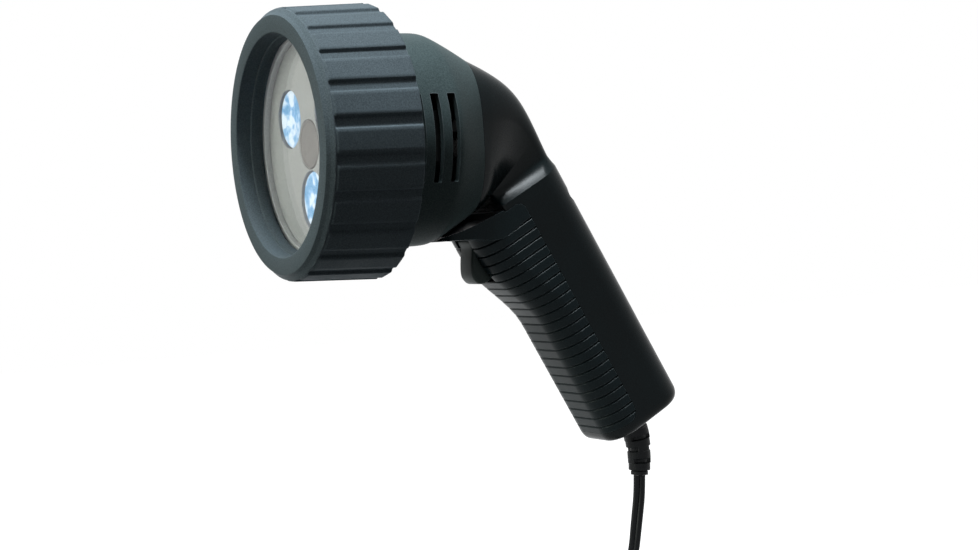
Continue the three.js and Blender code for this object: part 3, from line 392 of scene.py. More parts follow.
def rod(name: str, start: Sequence[float], end: Sequence[float], profile: Sequence[tuple[float, float]],
        segments: int, place: Place) -> Solid:
    """Makes a round rod between two points.

    Args:
        name: The object's name.
        start: Its start, in the frame that place reads.
        end: Its end there.
        profile: (share of the way, radius) pairs from the start.
        segments: The steps round it.
        place: What turns that frame into the row's.

    Returns:
        The solid.
    """
    first, last = np.asarray(start, float), np.asarray(end, float)
    forward = (last - first) / np.linalg.norm(last - first)
    helper = np.array([1.0, 0, 0]) if abs(forward[0]) < 0.9 else np.array([0, 1.0, 0])
    side = np.cross(forward, helper)
    side /= np.linalg.norm(side)
    other = np.cross(forward, side)
    angle = TURN * np.arange(segments) / segments
    circle = np.outer(np.cos(angle), side) + np.outer(np.sin(angle), other)
    rings = [mix(first, last, share) + radius * circle for share, radius in profile]
    return skin(name, place(np.array(rings)))


def swept(name: str, path: np.ndarray, sections: Callable[[int], np.ndarray]) -> Solid:
    """Sweeps a section along a path, kept from twisting by the x axis.

    Args:
        name: The object's name.
        path: The points that it follows, in metres.
        sections: The section at a point's number, as (side, up) points in metres.

    Returns:
        The solid.
    """
    rings = []
    for i, point in enumerate(path):
        after, before = path[min(i + 1, len(path) - 1)], path[max(i - 1, 0)]
        forward = (after - before) / np.linalg.norm(after - before)
        side = np.array([1.0, 0, 0]) - forward * forward[0]
        side /= np.linalg.norm(side)
        up = np.cross(forward, side)
        section = sections(i)
        rings.append(point + np.outer(section[:, 0], side) + np.outer(section[:, 1], up))
    return skin(name, np.array(rings))


def combine(obj: Solid, tool: Solid, join: Join) -> Solid:
    """Joins, cuts or keeps what two solids share, and deletes the second.

    Args:
        obj: The solid that is changed.
        tool: The solid that changes it.
        join: What to do.

    Returns:
        The changed solid.
    """
    modifier = obj.modifiers.new("combine", "BOOLEAN")
    modifier.operation = join.value
    modifier.solver = "MANIFOLD"
    modifier.object = tool
    settle(obj)
    bpy.data.objects.remove(tool)
    return obj


def drill(obj: Solid, start: Sequence[float], end: Sequence[float], profile: Sequence[tuple[float, float]],
          segments: int, place: Place) -> Solid:
    """Drills a round hole.

    Args:
        obj: The solid that is drilled.
        start: Where the drill starts, in the frame that place reads.
        end: Where it ends there.
        profile: (share of the way, radius) pairs from the start.
        segments: The steps round the hole.
        place: What turns that frame into the row's.

    Returns:
        The drilled solid.
    """
    return combine(obj, rod("drill", start, end, profile, segments, place), Join.CUT)


def settle(obj: Solid) -> Solid:
    """Turns an object's modifiers into its mesh.

    Args:
        obj: The object.

    Returns:
        The same object, with no modifiers.
    """
    bpy.context.view_layer.update()
    evaluated = obj.evaluated_get(bpy.context.evaluated_depsgraph_get())
    mesh = bpy.data.meshes.new_from_object(evaluated)
    mesh.name = obj.name
    obj.modifiers.clear()
    obj.data = mesh
    return obj


def softened(obj: Solid, width: float, angle: float, segments: int) -> Solid:
    """Rounds an object's sharp edges.

    Args:
        obj: The object.
        width: How far the round reaches from the edge, in millimetres.
        angle: The least angle between faces that counts as an edge, in degrees.
        segments: The pieces across each round.

    Returns:
        The same object.
    """
    modifier = obj.modifiers.new("soft_edges", "BEVEL")
    modifier.width = width * MM
    modifier.segments = segments
    modifier.limit_method = "ANGLE"
    modifier.angle_limit = math.radians(angle)
    modifier.use_clamp_overlap = True
    return settle(obj)


def smooth(obj: Solid, angle: float) -> None:
    """Shades an object smoothly, with edges sharper than an angle in degrees kept sharp."""
    obj.data.polygons.foreach_set("use_smooth", [True] * len(obj.data.polygons))
    obj.data.set_sharp_from_angle(angle=math.radians(angle))


def linear(colour: str) -> tuple[float, float, float, float]:
    """Turns an sRGB hex colour such as "#3c4650" into the linear colour that a shader takes."""
    values = [int(colour[i : i + 2], 16) / 255 for i in (1, 3, 5)]
    red, green, blue = (v / 12.92 if v <= 0.04045 else ((v + 0.055) / 1.055) ** 2.4 for v in values)
    return (red, green, blue, 1.0)


def add_node(tree: Tree, kind: str, settings: dict[str, Any] | None = None,
             inputs: dict[Any, Any] | None = None) -> bpy.types.Node:
    """Adds a node.

    Args:
        tree: The tree that it goes in.
        kind: The shader node's type name, without ShaderNode before it.
        settings: The node's own properties.
        inputs: Its inputs by name or number: a socket is linked, and anything else is set.

    Returns:
        The node.
    """
    node = tree.nodes.new(f"ShaderNode{kind}")
    for name, value in (settings or {}).items():
        setattr(node, name, value)
    for name, value in (inputs or {}).items():
        if isinstance(value, Socket):
            tree.links.new(value, node.inputs[name])
        else:
            node.inputs[name].default_value = value
    return node


def ramp(node: bpy.types.Node, stops: Sequence[tuple[float, Any]]) -> Socket:
    """Sets a colour ramp's stops.

    Args:
        node: The colour ramp node.
        stops: (place, colour) pairs, each colour a hex value or a grey level.

    Returns:
        The ramp's colour output.
    """
    elements = node.color_ramp.elements
    while len(elements) < len(stops):
        elements.new(0.5)
    for element, (place, colour) in zip(elements, stops):
        element.position = place
        element.color = linear(colour) if isinstance(colour, str) else (colour, colour, colour, 1.0)
    return node.outputs["Color"]


@dataclass(frozen=True)
class Finish:
    """A surface's finish, which a subclass builds as a material."""

    name: str

    def material(self) -> bpy.types.Material:
        """Returns this finish's material, made once."""
        known = bpy.data.materials.get(self.name)
        if known:
            return known
        made = bpy.data.materials.new(self.name)
        made.use_nodes = True
        made.node_tree.nodes.clear()
        output = add_node(made.node_tree, "OutputMaterial")
        made.node_tree.links.new(self.surface(made.node_tree), output.inputs["Surface"])
        return made

    def surface(self, tree: Tree) -> Socket:
        """Builds the shader and returns its output."""
        raise NotImplementedError


@dataclass(frozen=True)
class Moulded(Finish):
    """A moulded plastic or rubber: spark-eroded grain, a slow change of tone, and pale edges: wear and painted
    highlight.
    """

    colour: str
    pale: str
    roughness: float
    specular: float
    grain: float
    grain_depth: float
    fleck: float
    ior: float
    # How strongly the edges are painted pale: partly wear, partly painted highlight
    wear_and_highlight: float = 0.0
    edge: float = 0.35
    drift: float = 22.0
    gloss_range: float = 0.06

    def surface(self, tree: Tree) -> Socket:
        """Builds the shader and returns its output."""
        place = add_node(tree, "TexCoord").outputs["Object"]
        grain = add_node(tree, "TexNoise", inputs={
            "Vector": place, "Scale": 1 / (self.grain * MM), "Detail": 3.0, "Roughness": 0.6,
        }).outputs["Fac"]
        drift = add_node(tree, "TexNoise", inputs={
            "Vector": place, "Scale": 1 / (self.drift * MM), "Detail": 4.0, "Roughness": 0.55,
        }).outputs["Fac"]
        tone = ramp(add_node(tree, "ValToRGB", inputs={"Fac": grain}), [
            (0.36, self.colour), (0.72, self.pale),
        ])
        slow = ramp(add_node(tree, "ValToRGB", inputs={"Fac": drift}), [
            (0.35, 1 - self.fleck), (0.65, 1.0),
        ])
        base = add_node(tree, "Mix", {"data_type": "RGBA", "blend_type": "MULTIPLY"}, {
            0: 1.0, 6: tone, 7: slow,
        }).outputs[2]
        if self.wear_and_highlight:
            base = self.worn_and_highlit(tree, base)
        gloss = add_node(tree, "MapRange", inputs={
            "Value": drift, "From Min": 0.3, "From Max": 0.7, "To Min": self.roughness - self.gloss_range,
            "To Max": self.roughness + self.gloss_range,
        }).outputs[0]
        bump = add_node(tree, "Bump", inputs={
            "Strength": 1.0, "Distance": self.grain_depth * MM, "Height": grain,
        }).outputs["Normal"]
        return add_node(tree, "BsdfPrincipled", inputs={
            "Base Color": base, "Roughness": gloss, "IOR": self.ior, "Specular IOR Level": self.specular,
            "Normal": bump,
        }).outputs["BSDF"]

    def worn_and_highlit(self, tree: Tree, base: Socket) -> Socket:
        """Paints the edges paler, partly as wear and partly as a painted highlight.

        Args:
            tree: The material's tree.
            base: The colour before the edges are painted paler.

        Returns:
            The colour with its edges painted paler.
        """
        blunt = add_node(tree, "Bevel", {"samples": 6}, {"Radius": self.edge * MM}).outputs["Normal"]
        true = add_node(tree, "NewGeometry").outputs["Normal"]
        turn = add_node(tree, "VectorMath", {"operation": "DOT_PRODUCT"}, {
            0: blunt, 1: true,
        }).outputs["Value"]
        rubbed_and_highlit = add_node(tree, "MapRange", inputs={
            "Value": turn, "From Min": 0.99, "From Max": 0.85, "To Min": 0.0, "To Max": self.wear_and_highlight,
        }).outputs[0]
        # The edges' pale blue-grey is partly wear and partly a painted highlight
        return add_node(tree, "Mix", {"data_type": "RGBA"}, {
            0: rubbed_and_highlit, 6: base, 7: linear("#8d979b"),
        }).outputs[2]


@dataclass(frozen=True)
class Metal(Finish):
    """A metal surface with fine tool marks and a patchy polish."""

    colour: str
    roughness: float
    marks: float
    mark_depth: float = 0.01
    gloss_range: float = 0.1

    def surface(self, tree: Tree) -> Socket:
        """Builds the shader and returns its output."""
        place = add_node(tree, "TexCoord").outputs["Object"]
        marks = add_node(tree, "TexNoise", inputs={
            "Vector": place, "Scale": 1 / (self.marks * MM), "Detail": 4.0,
        }).outputs["Fac"]
        gloss = add_node(tree, "MapRange", inputs={
            "Value": marks, "To Min": self.roughness - self.gloss_range,
            "To Max": self.roughness + self.gloss_range,
        }).outputs[0]
        bump = add_node(tree, "Bump", inputs={
            "Strength": 1.0, "Distance": self.mark_depth * MM, "Height": marks,
        }).outputs["Normal"]
        return add_node(tree, "BsdfPrincipled", inputs={
            "Base Color": linear(self.colour), "Metallic": 1.0, "Roughness": gloss, "Normal": bump,
        }).outputs["BSDF"]


@dataclass(frozen=True)
class ClearGlass(Finish):
    """Polished sheet glass, coated so that it hardly reflects, which its low IOR stands for."""

    tint: str = "#f6f7f4"
    ior: float = 1.12
    smear: float = 9.0

    def surface(self, tree: Tree) -> Socket:
        """Builds the shader and returns its output."""
        place = add_node(tree, "TexCoord").outputs["Object"]
        smear = add_node(tree, "TexNoise", inputs={
            "Vector": place, "Scale": 1 / (self.smear * MM),
        }).outputs["Fac"]
        gloss = add_node(tree, "MapRange", inputs={
            "Value": smear, "To Min": 0.01, "To Max": 0.05,
        }).outputs[0]
        glass = add_node(tree, "BsdfPrincipled", inputs={
            "Base Color": linear(self.tint), "Roughness": gloss, "IOR": self.ior, "Transmission Weight": 1.0,
        }).outputs["BSDF"]
        open_air = add_node(tree, "BsdfTransparent", inputs={"Color": linear(self.tint)}).outputs["BSDF"]
        shadow = add_node(tree, "LightPath").outputs["Is Shadow Ray"]
        return add_node(tree, "MixShader", inputs={0: shadow, 1: glass, 2: open_air}).outputs["Shader"]


@dataclass(frozen=True)
class LensCell(Finish):
    """A moulded acrylic lens over a bright reflector: small facets in pale blues, partly the coating's own
    blue and partly a painted reflection, with a faint painted glow.
    """

    deep: str = "#6592c0"
    middle: str = "#82a6d2"
    pale: str = "#c6d0e4"
    facet: float = 2.6
    drift: float = 6.0
    # A painted glow: the facets give off a little light of their own colour, though the lens is no lamp
    glow: float = 0.05

    def surface(self, tree: Tree) -> Socket:
        """Builds the shader and returns its output."""
        place = add_node(tree, "TexCoord").outputs["Object"]
        cells = add_node(tree, "TexVoronoi", {"feature": "SMOOTH_F1"}, {
            "Vector": place, "Scale": 1 / (self.facet * MM), "Smoothness": 1.0,
        })
        drift = add_node(tree, "TexNoise", inputs={
            "Vector": place, "Scale": 1 / (self.drift * MM), "Detail": 2.0,
        }).outputs["Fac"]
        grey = add_node(tree, "RGBToBW", inputs={"Color": cells.outputs["Color"]}).outputs[0]
        share = add_node(tree, "Math", {"operation": "MULTIPLY"}, {0: grey, 1: 0.35}).outputs[0]
        value = add_node(tree, "Math", {"operation": "ADD"}, {0: share, 1: drift}).outputs[0]
        tone = ramp(add_node(tree, "ValToRGB", inputs={"Fac": value}), [
            (0.54, self.deep), (0.62, self.middle), (0.74, self.pale),
        ])
        # The facet colours are partly a painted reflection, and the emission is a painted glow
        return add_node(tree, "BsdfPrincipled", inputs={
            "Base Color": tone, "Roughness": 0.18, "IOR": 1.49, "Specular IOR Level": 0.2,
            "Emission Color": tone, "Emission Strength": self.glow,
        }).outputs["BSDF"]


@dataclass(frozen=True)
class Wound(Finish):
    """Enamelled copper wire wound in tight turns: a coppery gloss with a fine ridge at each turn."""

    colour: str = "#8a4520"
    wire: float = 0.5
    ridge: float = 0.1

    def surface(self, tree: Tree) -> Socket:
        """Builds the shader and returns its output."""
        place = add_node(tree, "TexCoord").outputs["Object"]
        turns = add_node(tree, "TexWave", {"bands_direction": "Y"}, {
            "Vector": place, "Scale": 1 / (TURN * self.wire * MM) * math.pi / 5,
        }).outputs["Fac"]
        bump = add_node(tree, "Bump", inputs={
            "Strength": 1.0, "Distance": self.ridge * MM, "Height": turns,
        }).outputs["Normal"]
        return add_node(tree, "BsdfPrincipled", inputs={
            "Base Color": linear(self.colour), "Metallic": 0.6, "Roughness": 0.3, "Normal": bump,
        }).outputs["BSDF"]


# The numbers of a moulded finish are its roughness, specular level, grain and grain depth in millimetres,
# fleck and IOR, then how strongly its edges are painted pale, partly wear and partly painted highlight,
# and how far in that reaches, in millimetres.

# Thermoplastic rubber, moulded with a spark-eroded skin: a dull blue-grey black, its pad and groove edges
# painted pale, partly wear and partly painted highlight
BEZEL_RUBBER = Moulded("moulded_rubber_bezel", "#464f54", "#59646a", 0.6, 0.04, 0.5, 0.02, 0.1, 1.52, 0.3, 0.4)
# ABS, moulded with a fine grain: a green-grey black with a soft sheen, its vent and rim edges painted pale,
# partly wear and partly painted highlight
BOWL_ABS = Moulded("moulded_abs_bowl", "#3a4546", "#4f5c5d", 0.45, 0.015, 0.5, 0.015, 0.12, 1.53, 0.4, 0.45)
# Glass-filled nylon, moulded with a fine grain: near black, with a soft broad highlight
HANDLE_NYLON = Moulded("moulded_nylon_handle", "#0b1315", "#131d1f", 0.26, 0.07, 0.6, 0.01, 0.15, 1.53)
# Soft-touch rubber over a stiff core: near black, with crisp pale lines painted on its rib and hood edges,
# partly wear and partly painted highlight
GRIP_RUBBER = Moulded("moulded_rubber_grip", "#121c1f", "#1e2a2d", 0.34, 0.06, 0.5, 0.01, 0.15, 1.52, 0.3, 0.3)
# Acetal, moulded: a green-grey, slightly waxy
TRIGGER_ACETAL = Moulded("moulded_acetal_trigger", "#2b3433", "#38413f", 0.42, 0.1, 0.4, 0.01, 0.15, 1.48)
# PVC, extruded: smooth and faintly glossy
CORD_PVC = Moulded("extruded_pvc_cord", "#121416", "#1a1d20", 0.32, 0.1, 0.8, 0.006, 0.15, 1.53)
# PVC, moulded on the cord: a little duller than the cord itself
BOOT_PVC = Moulded("moulded_pvc_boot", "#101214", "#1a1c1e", 0.42, 0.1, 0.5, 0.012, 0.2, 1.53)
# Polycarbonate sheet, cut and left matt: a warm grey
PLATE_GREY = Moulded("matt_polycarbonate_plate", "#828286", "#8c8c90", 0.6, 0.1, 1.2, 0.004, 0.06, 1.58)
# Silicone, moulded: a lighter grey than the plate's
SPACER_SILICONE = Moulded("moulded_silicone_spacer", "#a1a2a6", "#abacb0", 0.5, 0.1, 1.0, 0.006, 0.08, 1.41)
# Borosilicate sheet glass, cut and ground at its edge
FRONT_GLASS = ClearGlass("borosilicate_sheet_glass")
# Acrylic lens over a dichroic reflector: pale blue facets, partly the coating's blue and partly a painted
# reflection, with a faint painted glow
UV_LENS = LensCell("dichroic_acrylic_lens")
# Acrylic lens over a matt reflector: it takes the plate's grey
WHITE_LENS = Moulded("clear_acrylic_lens", "#615d5f", "#6b6769", 0.35, 0.2, 3.0, 0.01, 0.06, 1.49)
# Epoxy glass laminate under green solder resist: a deep green gloss
BOARD_LAMINATE = Moulded("glass_epoxy_laminate", "#1d5538", "#2a6a48", 0.4, 0.5, 1.0, 0.01, 0.1, 1.55)
# Phosphor over a ceramic chip: a dull cream
LED_PHOSPHOR = Moulded("led_phosphor", "#d8d2b8", "#e8e4d0", 0.5, 0.4, 0.4, 0.01, 0.05, 1.5)
# Die-cast aluminium: grey, with a fine sandy skin
CAST_ALUMINIUM = Metal("cast_aluminium", "#b5b8ba", 0.45, 0.3)
# Zinc-plated steel: a cool grey with a patchy shine
SCREW_STEEL = Metal("zinc_plated_steel", "#9a9ea2", 0.3, 0.4)
# Nickel-plated brass: a warm bright grey
BARREL_NICKEL = Metal("nickel_plated_brass", "#c8c4ba", 0.22, 0.5)
# Enamelled copper wire, wound
COIL_COPPER = Wound("enamelled_copper_winding")
# PVC lead, extruded in a dark red
LEAD_PVC = Moulded("extruded_pvc_lead", "#3a1010", "#4a1616", 0.4, 0.2, 0.6, 0.006, 0.1, 1.53)
# Nylon hook-and-loop tape, woven: a dull black nap
TIE_NYLON = Moulded("woven_nylon_tie", "#121315", "#2a2c2f", 0.9, 0.15, 0.35, 0.12, 0.1, 1.53)


def install(obj: Solid, body: Body, nodes: Sequence[str], finish: Finish,
            angle: float = 35.0) -> Solid:
    """Finishes a piece that stands for CAD nodes.

    Args:
        obj: The piece.
        body: The body that it rides on.
        nodes: The nodes that it replaces.
        finish: Its finish.
        angle: The least angle of an edge that stays sharp, in degrees.

    Returns:
        The same piece.
    """
    smooth(obj, angle)
    obj.data.materials.clear()
    obj.data.materials.append(finish.material())
    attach(obj, body.value)
    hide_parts(*nodes)
    log.info("%s rides on %s: %d faces", obj.name, body.value, len(obj.data.polygons))
    return obj


@dataclass
class Studio:
    """The pale floor, the soft lamps and the camera at the photograph's place."""

    floor_size: float = 6.0
    floor_drop: float = 0.001
    lens: float = 73.34
    sensor: float = 36.0
    azimuth: float = 62.85
    elevation: float = 1.79
    roll: float = -3.48
    place: tuple[float, float, float] = (0.68994, -0.38966, 0.03863)
    floor_glow: float = 0.9
    sky_strength: float = 0.8

    def build(self) -> None:
        """Builds everything that isn't the lamp."""
        self.camera()
        self.floor()
        self.world()
        self.lamp("key", (0.17, -0.17, 1.16), 0.24, 21.5, (0.89, 0.96, 1.0))
        self.lamp("front_fill", (-0.2, -1.5, 0.5), 1.0, 14.0, (0.94, 1.0, 0.88))

    def camera(self) -> None:
        """Places the camera and makes it the scene's."""
        a, e = math.radians(self.azimuth), math.radians(self.elevation)
        back = Vector((math.sin(a) * math.cos(e), -math.cos(a) * math.cos(e), math.sin(e)))
        right = Vector((math.cos(a), math.sin(a), 0))
        up = back.cross(right)
        roll = Matrix.Rotation(math.radians(self.roll), 3, "Z")
        turned = Matrix((right, up, back)).transposed() @ roll.transposed().inverted()
        data = bpy.data.cameras.new("camera")
        data.lens = self.lens
        data.sensor_width = self.sensor
        data.sensor_fit = "HORIZONTAL"
        data.clip_start = 0.01
        camera = bpy.data.objects.new("camera", data)
        camera.matrix_world = Matrix.Translation(self.place) @ turned.to_4x4()
        bpy.context.scene.collection.objects.link(camera)
        bpy.context.scene.camera = camera

    def floor(self) -> None:
        """Lays a pale floor, white to the camera but for the lamp's shadow."""
        low = CAD_BOX[0][2] - self.floor_drop
        half = self.floor_size / 2
        corners = [(-half, -half, low), (half, -half, low), (half, half, low), (-half, half, low)]
        mesh = bpy.data.meshes.new("floor")
        mesh.from_pydata(corners, [], [(0, 1, 2, 3)])
        floor = bpy.data.objects.new("floor", mesh)
        bpy.context.scene.collection.objects.link(floor)
        material = bpy.data.materials.new("matt_paper_floor")
        material.use_nodes = True
        tree = material.node_tree
        tree.nodes.clear()
        seen = self.seen_directly(tree)
        lit = add_node(tree, "BsdfDiffuse", inputs={"Color": linear("#a8a8a8")}).outputs[0]
        glow = add_node(tree, "Emission", inputs={
            "Color": linear("#ffffff"), "Strength": self.floor_glow,
        }).outputs[0]
        bright = add_node(tree, "AddShader", inputs={0: lit, 1: glow}).outputs[0]
        dull = add_node(tree, "BsdfDiffuse", inputs={"Color": linear("#383838")}).outputs[0]
        mixed = add_node(tree, "MixShader", inputs={0: seen, 1: dull, 2: bright}).outputs[0]
        add_node(tree, "OutputMaterial", inputs={"Surface": mixed})
        mesh.materials.append(material)

    def seen_directly(self, tree: Tree) -> Socket:
        """Returns a socket that is 1 for what the camera sees directly, in a reflection or through glass."""
        path = add_node(tree, "LightPath").outputs
        first = add_node(tree, "Math", {"operation": "MAXIMUM"}, {
            0: path["Is Camera Ray"], 1: path["Is Glossy Ray"],
        }).outputs[0]
        return add_node(tree, "Math", {"operation": "MAXIMUM"}, {
            0: first, 1: path["Is Transmission Ray"],
        }).outputs[0]

    def world(self) -> None:
        """Makes the surroundings: white where they are seen, and as light brighter above than below."""
        world = bpy.data.worlds.new("world")
        world.use_nodes = True
        bpy.context.scene.world = world
        tree = world.node_tree
        tree.nodes.clear()
        seen = self.seen_directly(tree)
        way = add_node(tree, "TexCoord").outputs["Generated"]
        height = add_node(tree, "SeparateXYZ", inputs={0: way}).outputs["Z"]
        share = add_node(tree, "MapRange", inputs={
            "Value": height, "From Min": -1.0, "From Max": 1.0,
        }).outputs[0]
        sky = ramp(add_node(tree, "ValToRGB", inputs={"Fac": share}), [
            (0.0, 0.0), (0.5, 0.01), (0.68, 0.1), (1.0, 1.0),
        ])
        light = add_node(tree, "Background", inputs={"Color": sky, "Strength": self.sky_strength}).outputs[0]
        white = add_node(tree, "Background", inputs={
            "Color": linear("#ffffff"), "Strength": 1.0,
        }).outputs[0]
        mixed = add_node(tree, "MixShader", inputs={0: seen, 1: light, 2: white}).outputs[0]
        add_node(tree, "OutputWorld", inputs={"Surface": mixed})

    def lamp(self, name: str, place: Sequence[float], size: float, power: float,
             colour: Sequence[float]) -> None:
        """Hangs a soft square lamp that points at the grip.

        Args:
            name: The lamp's name.
            place: Its place, in metres.
            size: Its side, in metres.
            power: Its power, in watts.
            colour: Its linear colour.
        """
        data = bpy.data.lights.new(name, "AREA")
        data.size = size
        data.energy = power
        data.color = colour
        obj = bpy.data.objects.new(name, data)
        obj.location = place
        obj.rotation_euler = Vector(place).to_track_quat("Z", "Y").to_euler()
        bpy.context.scene.collection.objects.link(obj)


@dataclass
class SupplyCord:
    """Flat twin-core cord: it hangs from the strain relief and is wound into a coil of four layers."""

    width: float = 4.8
    lobe_radius: float = 1.3
    lobe_steps: int = 9
    twist_start: float = -63.0
    twist_end: float = 0.0
    route: tuple[tuple[float, float, float], ...] = (
        (0, 0.1479, -0.1392), (0, 0.1475, -0.1442), (0, 0.1469, -0.1492), (0, 0.1458, -0.1552),
        (0, 0.1447, -0.1612), (-0.0002, 0.1437, -0.1672), (-0.0012, 0.1428, -0.1728),
        (-0.0034, 0.1423, -0.1784), (-0.0058, 0.1427, -0.184), (-0.0074, 0.1448, -0.1886),
        (-0.0081, 0.1484, -0.1922), (-0.00825, 0.1528, -0.1941),
    )
    route_steps: int = 6
    layers: int = 4
    pitch: float = 5.5
    turns_per_layer: float = 3.302
    outer: float = 36.8
    start_angle: float = 75.0
    steps_per_turn: int = 48
    tail: float = 8.0

    def coil(self) -> tuple[np.ndarray, np.ndarray]:
        """Works out the coil's centre line.

        Returns:
            The line's points and the coil's centre, in the head's frame, in millimetres.
        """
        start = np.array(self.route[-1]) / MM
        first = math.radians(self.start_angle)
        entry = np.array([0, math.sin(first), -math.cos(first)])
        centre = start + (FITTING_GAP + self.width) * entry
        centre -= self.outer * np.array([0, math.cos(first), math.sin(first)])
        total = self.layers * self.turns_per_layer
        count = round(total * self.steps_per_turn)
        line = [start + FITTING_GAP * entry]
        for i in range(count + 1):
            turns = i * total / count
            layer = min(int(turns / self.turns_per_layer), self.layers - 1)
            within = turns - layer * self.turns_per_layer
            wound = within if layer % 2 == 0 else self.turns_per_layer - within
            climb = sum(min(max(2 * (turns - k * self.turns_per_layer) + 0.5, 0), 1)
                        for k in range(1, self.layers))
            radius = self.outer - self.pitch * wound
            angle = first - TURN * turns
            line.append(centre + np.array([
                self.pitch * climb, radius * math.cos(angle), radius * math.sin(angle),
            ]))
        way = line[-1] - line[-2]
        way[0] = 0
        way /= np.linalg.norm(way)
        line.append(line[-1] + self.tail * way)
        line.append(line[-1] + self.width * way)
        return np.array(line), centre

    def path(self) -> np.ndarray:
        """Returns the whole cord's centre line, in the row's frame, in metres."""
        hanging = spline(np.array(self.route) / MM, self.route_steps)
        line, _ = self.coil()
        return head_to_row(np.vstack([hanging, line]))

    def section(self, angle: float) -> np.ndarray:
        """Draws the two round cores side by side, with the groove between them.

        Args:
            angle: How far the wide side is turned from the sweep's side, in radians.

        Returns:
            The section's points, in metres.
        """
        offset = self.width / 2 - self.lobe_radius
        open_angle = math.pi - math.acos(offset / self.lobe_radius)
        sweep = np.linspace(-open_angle, open_angle, self.lobe_steps)
        right = self.lobe_radius * np.stack([np.cos(sweep), np.sin(sweep)], axis=-1) + np.array([offset, 0])
        both = np.vstack([right[:-1], -right[:-1]])
        c, s = math.cos(angle), math.sin(angle)
        return both @ np.array([[c, s], [-s, c]]) * MM

    def build(self, with_pieces: Sequence[Solid]) -> Solid:
        """Args:
            with_pieces: The pieces on it. Not used.

        Returns:
            The cord.
        """
        path = self.path()
        hanging = self.route_steps * (len(self.route) - 1)

        def twist(i: int) -> np.ndarray:
            """Returns the section at a point's number, turned as far as the cord has twisted there."""
            share = eased(i / hanging)
            return self.section(math.radians(mix(self.twist_start, self.twist_end, share)))

        cord = swept("supply_cord", path, twist)
        install(cord, Body.LAMP, ["cord_hanging", "cord_coil"], CORD_PVC, 50)
        return cord


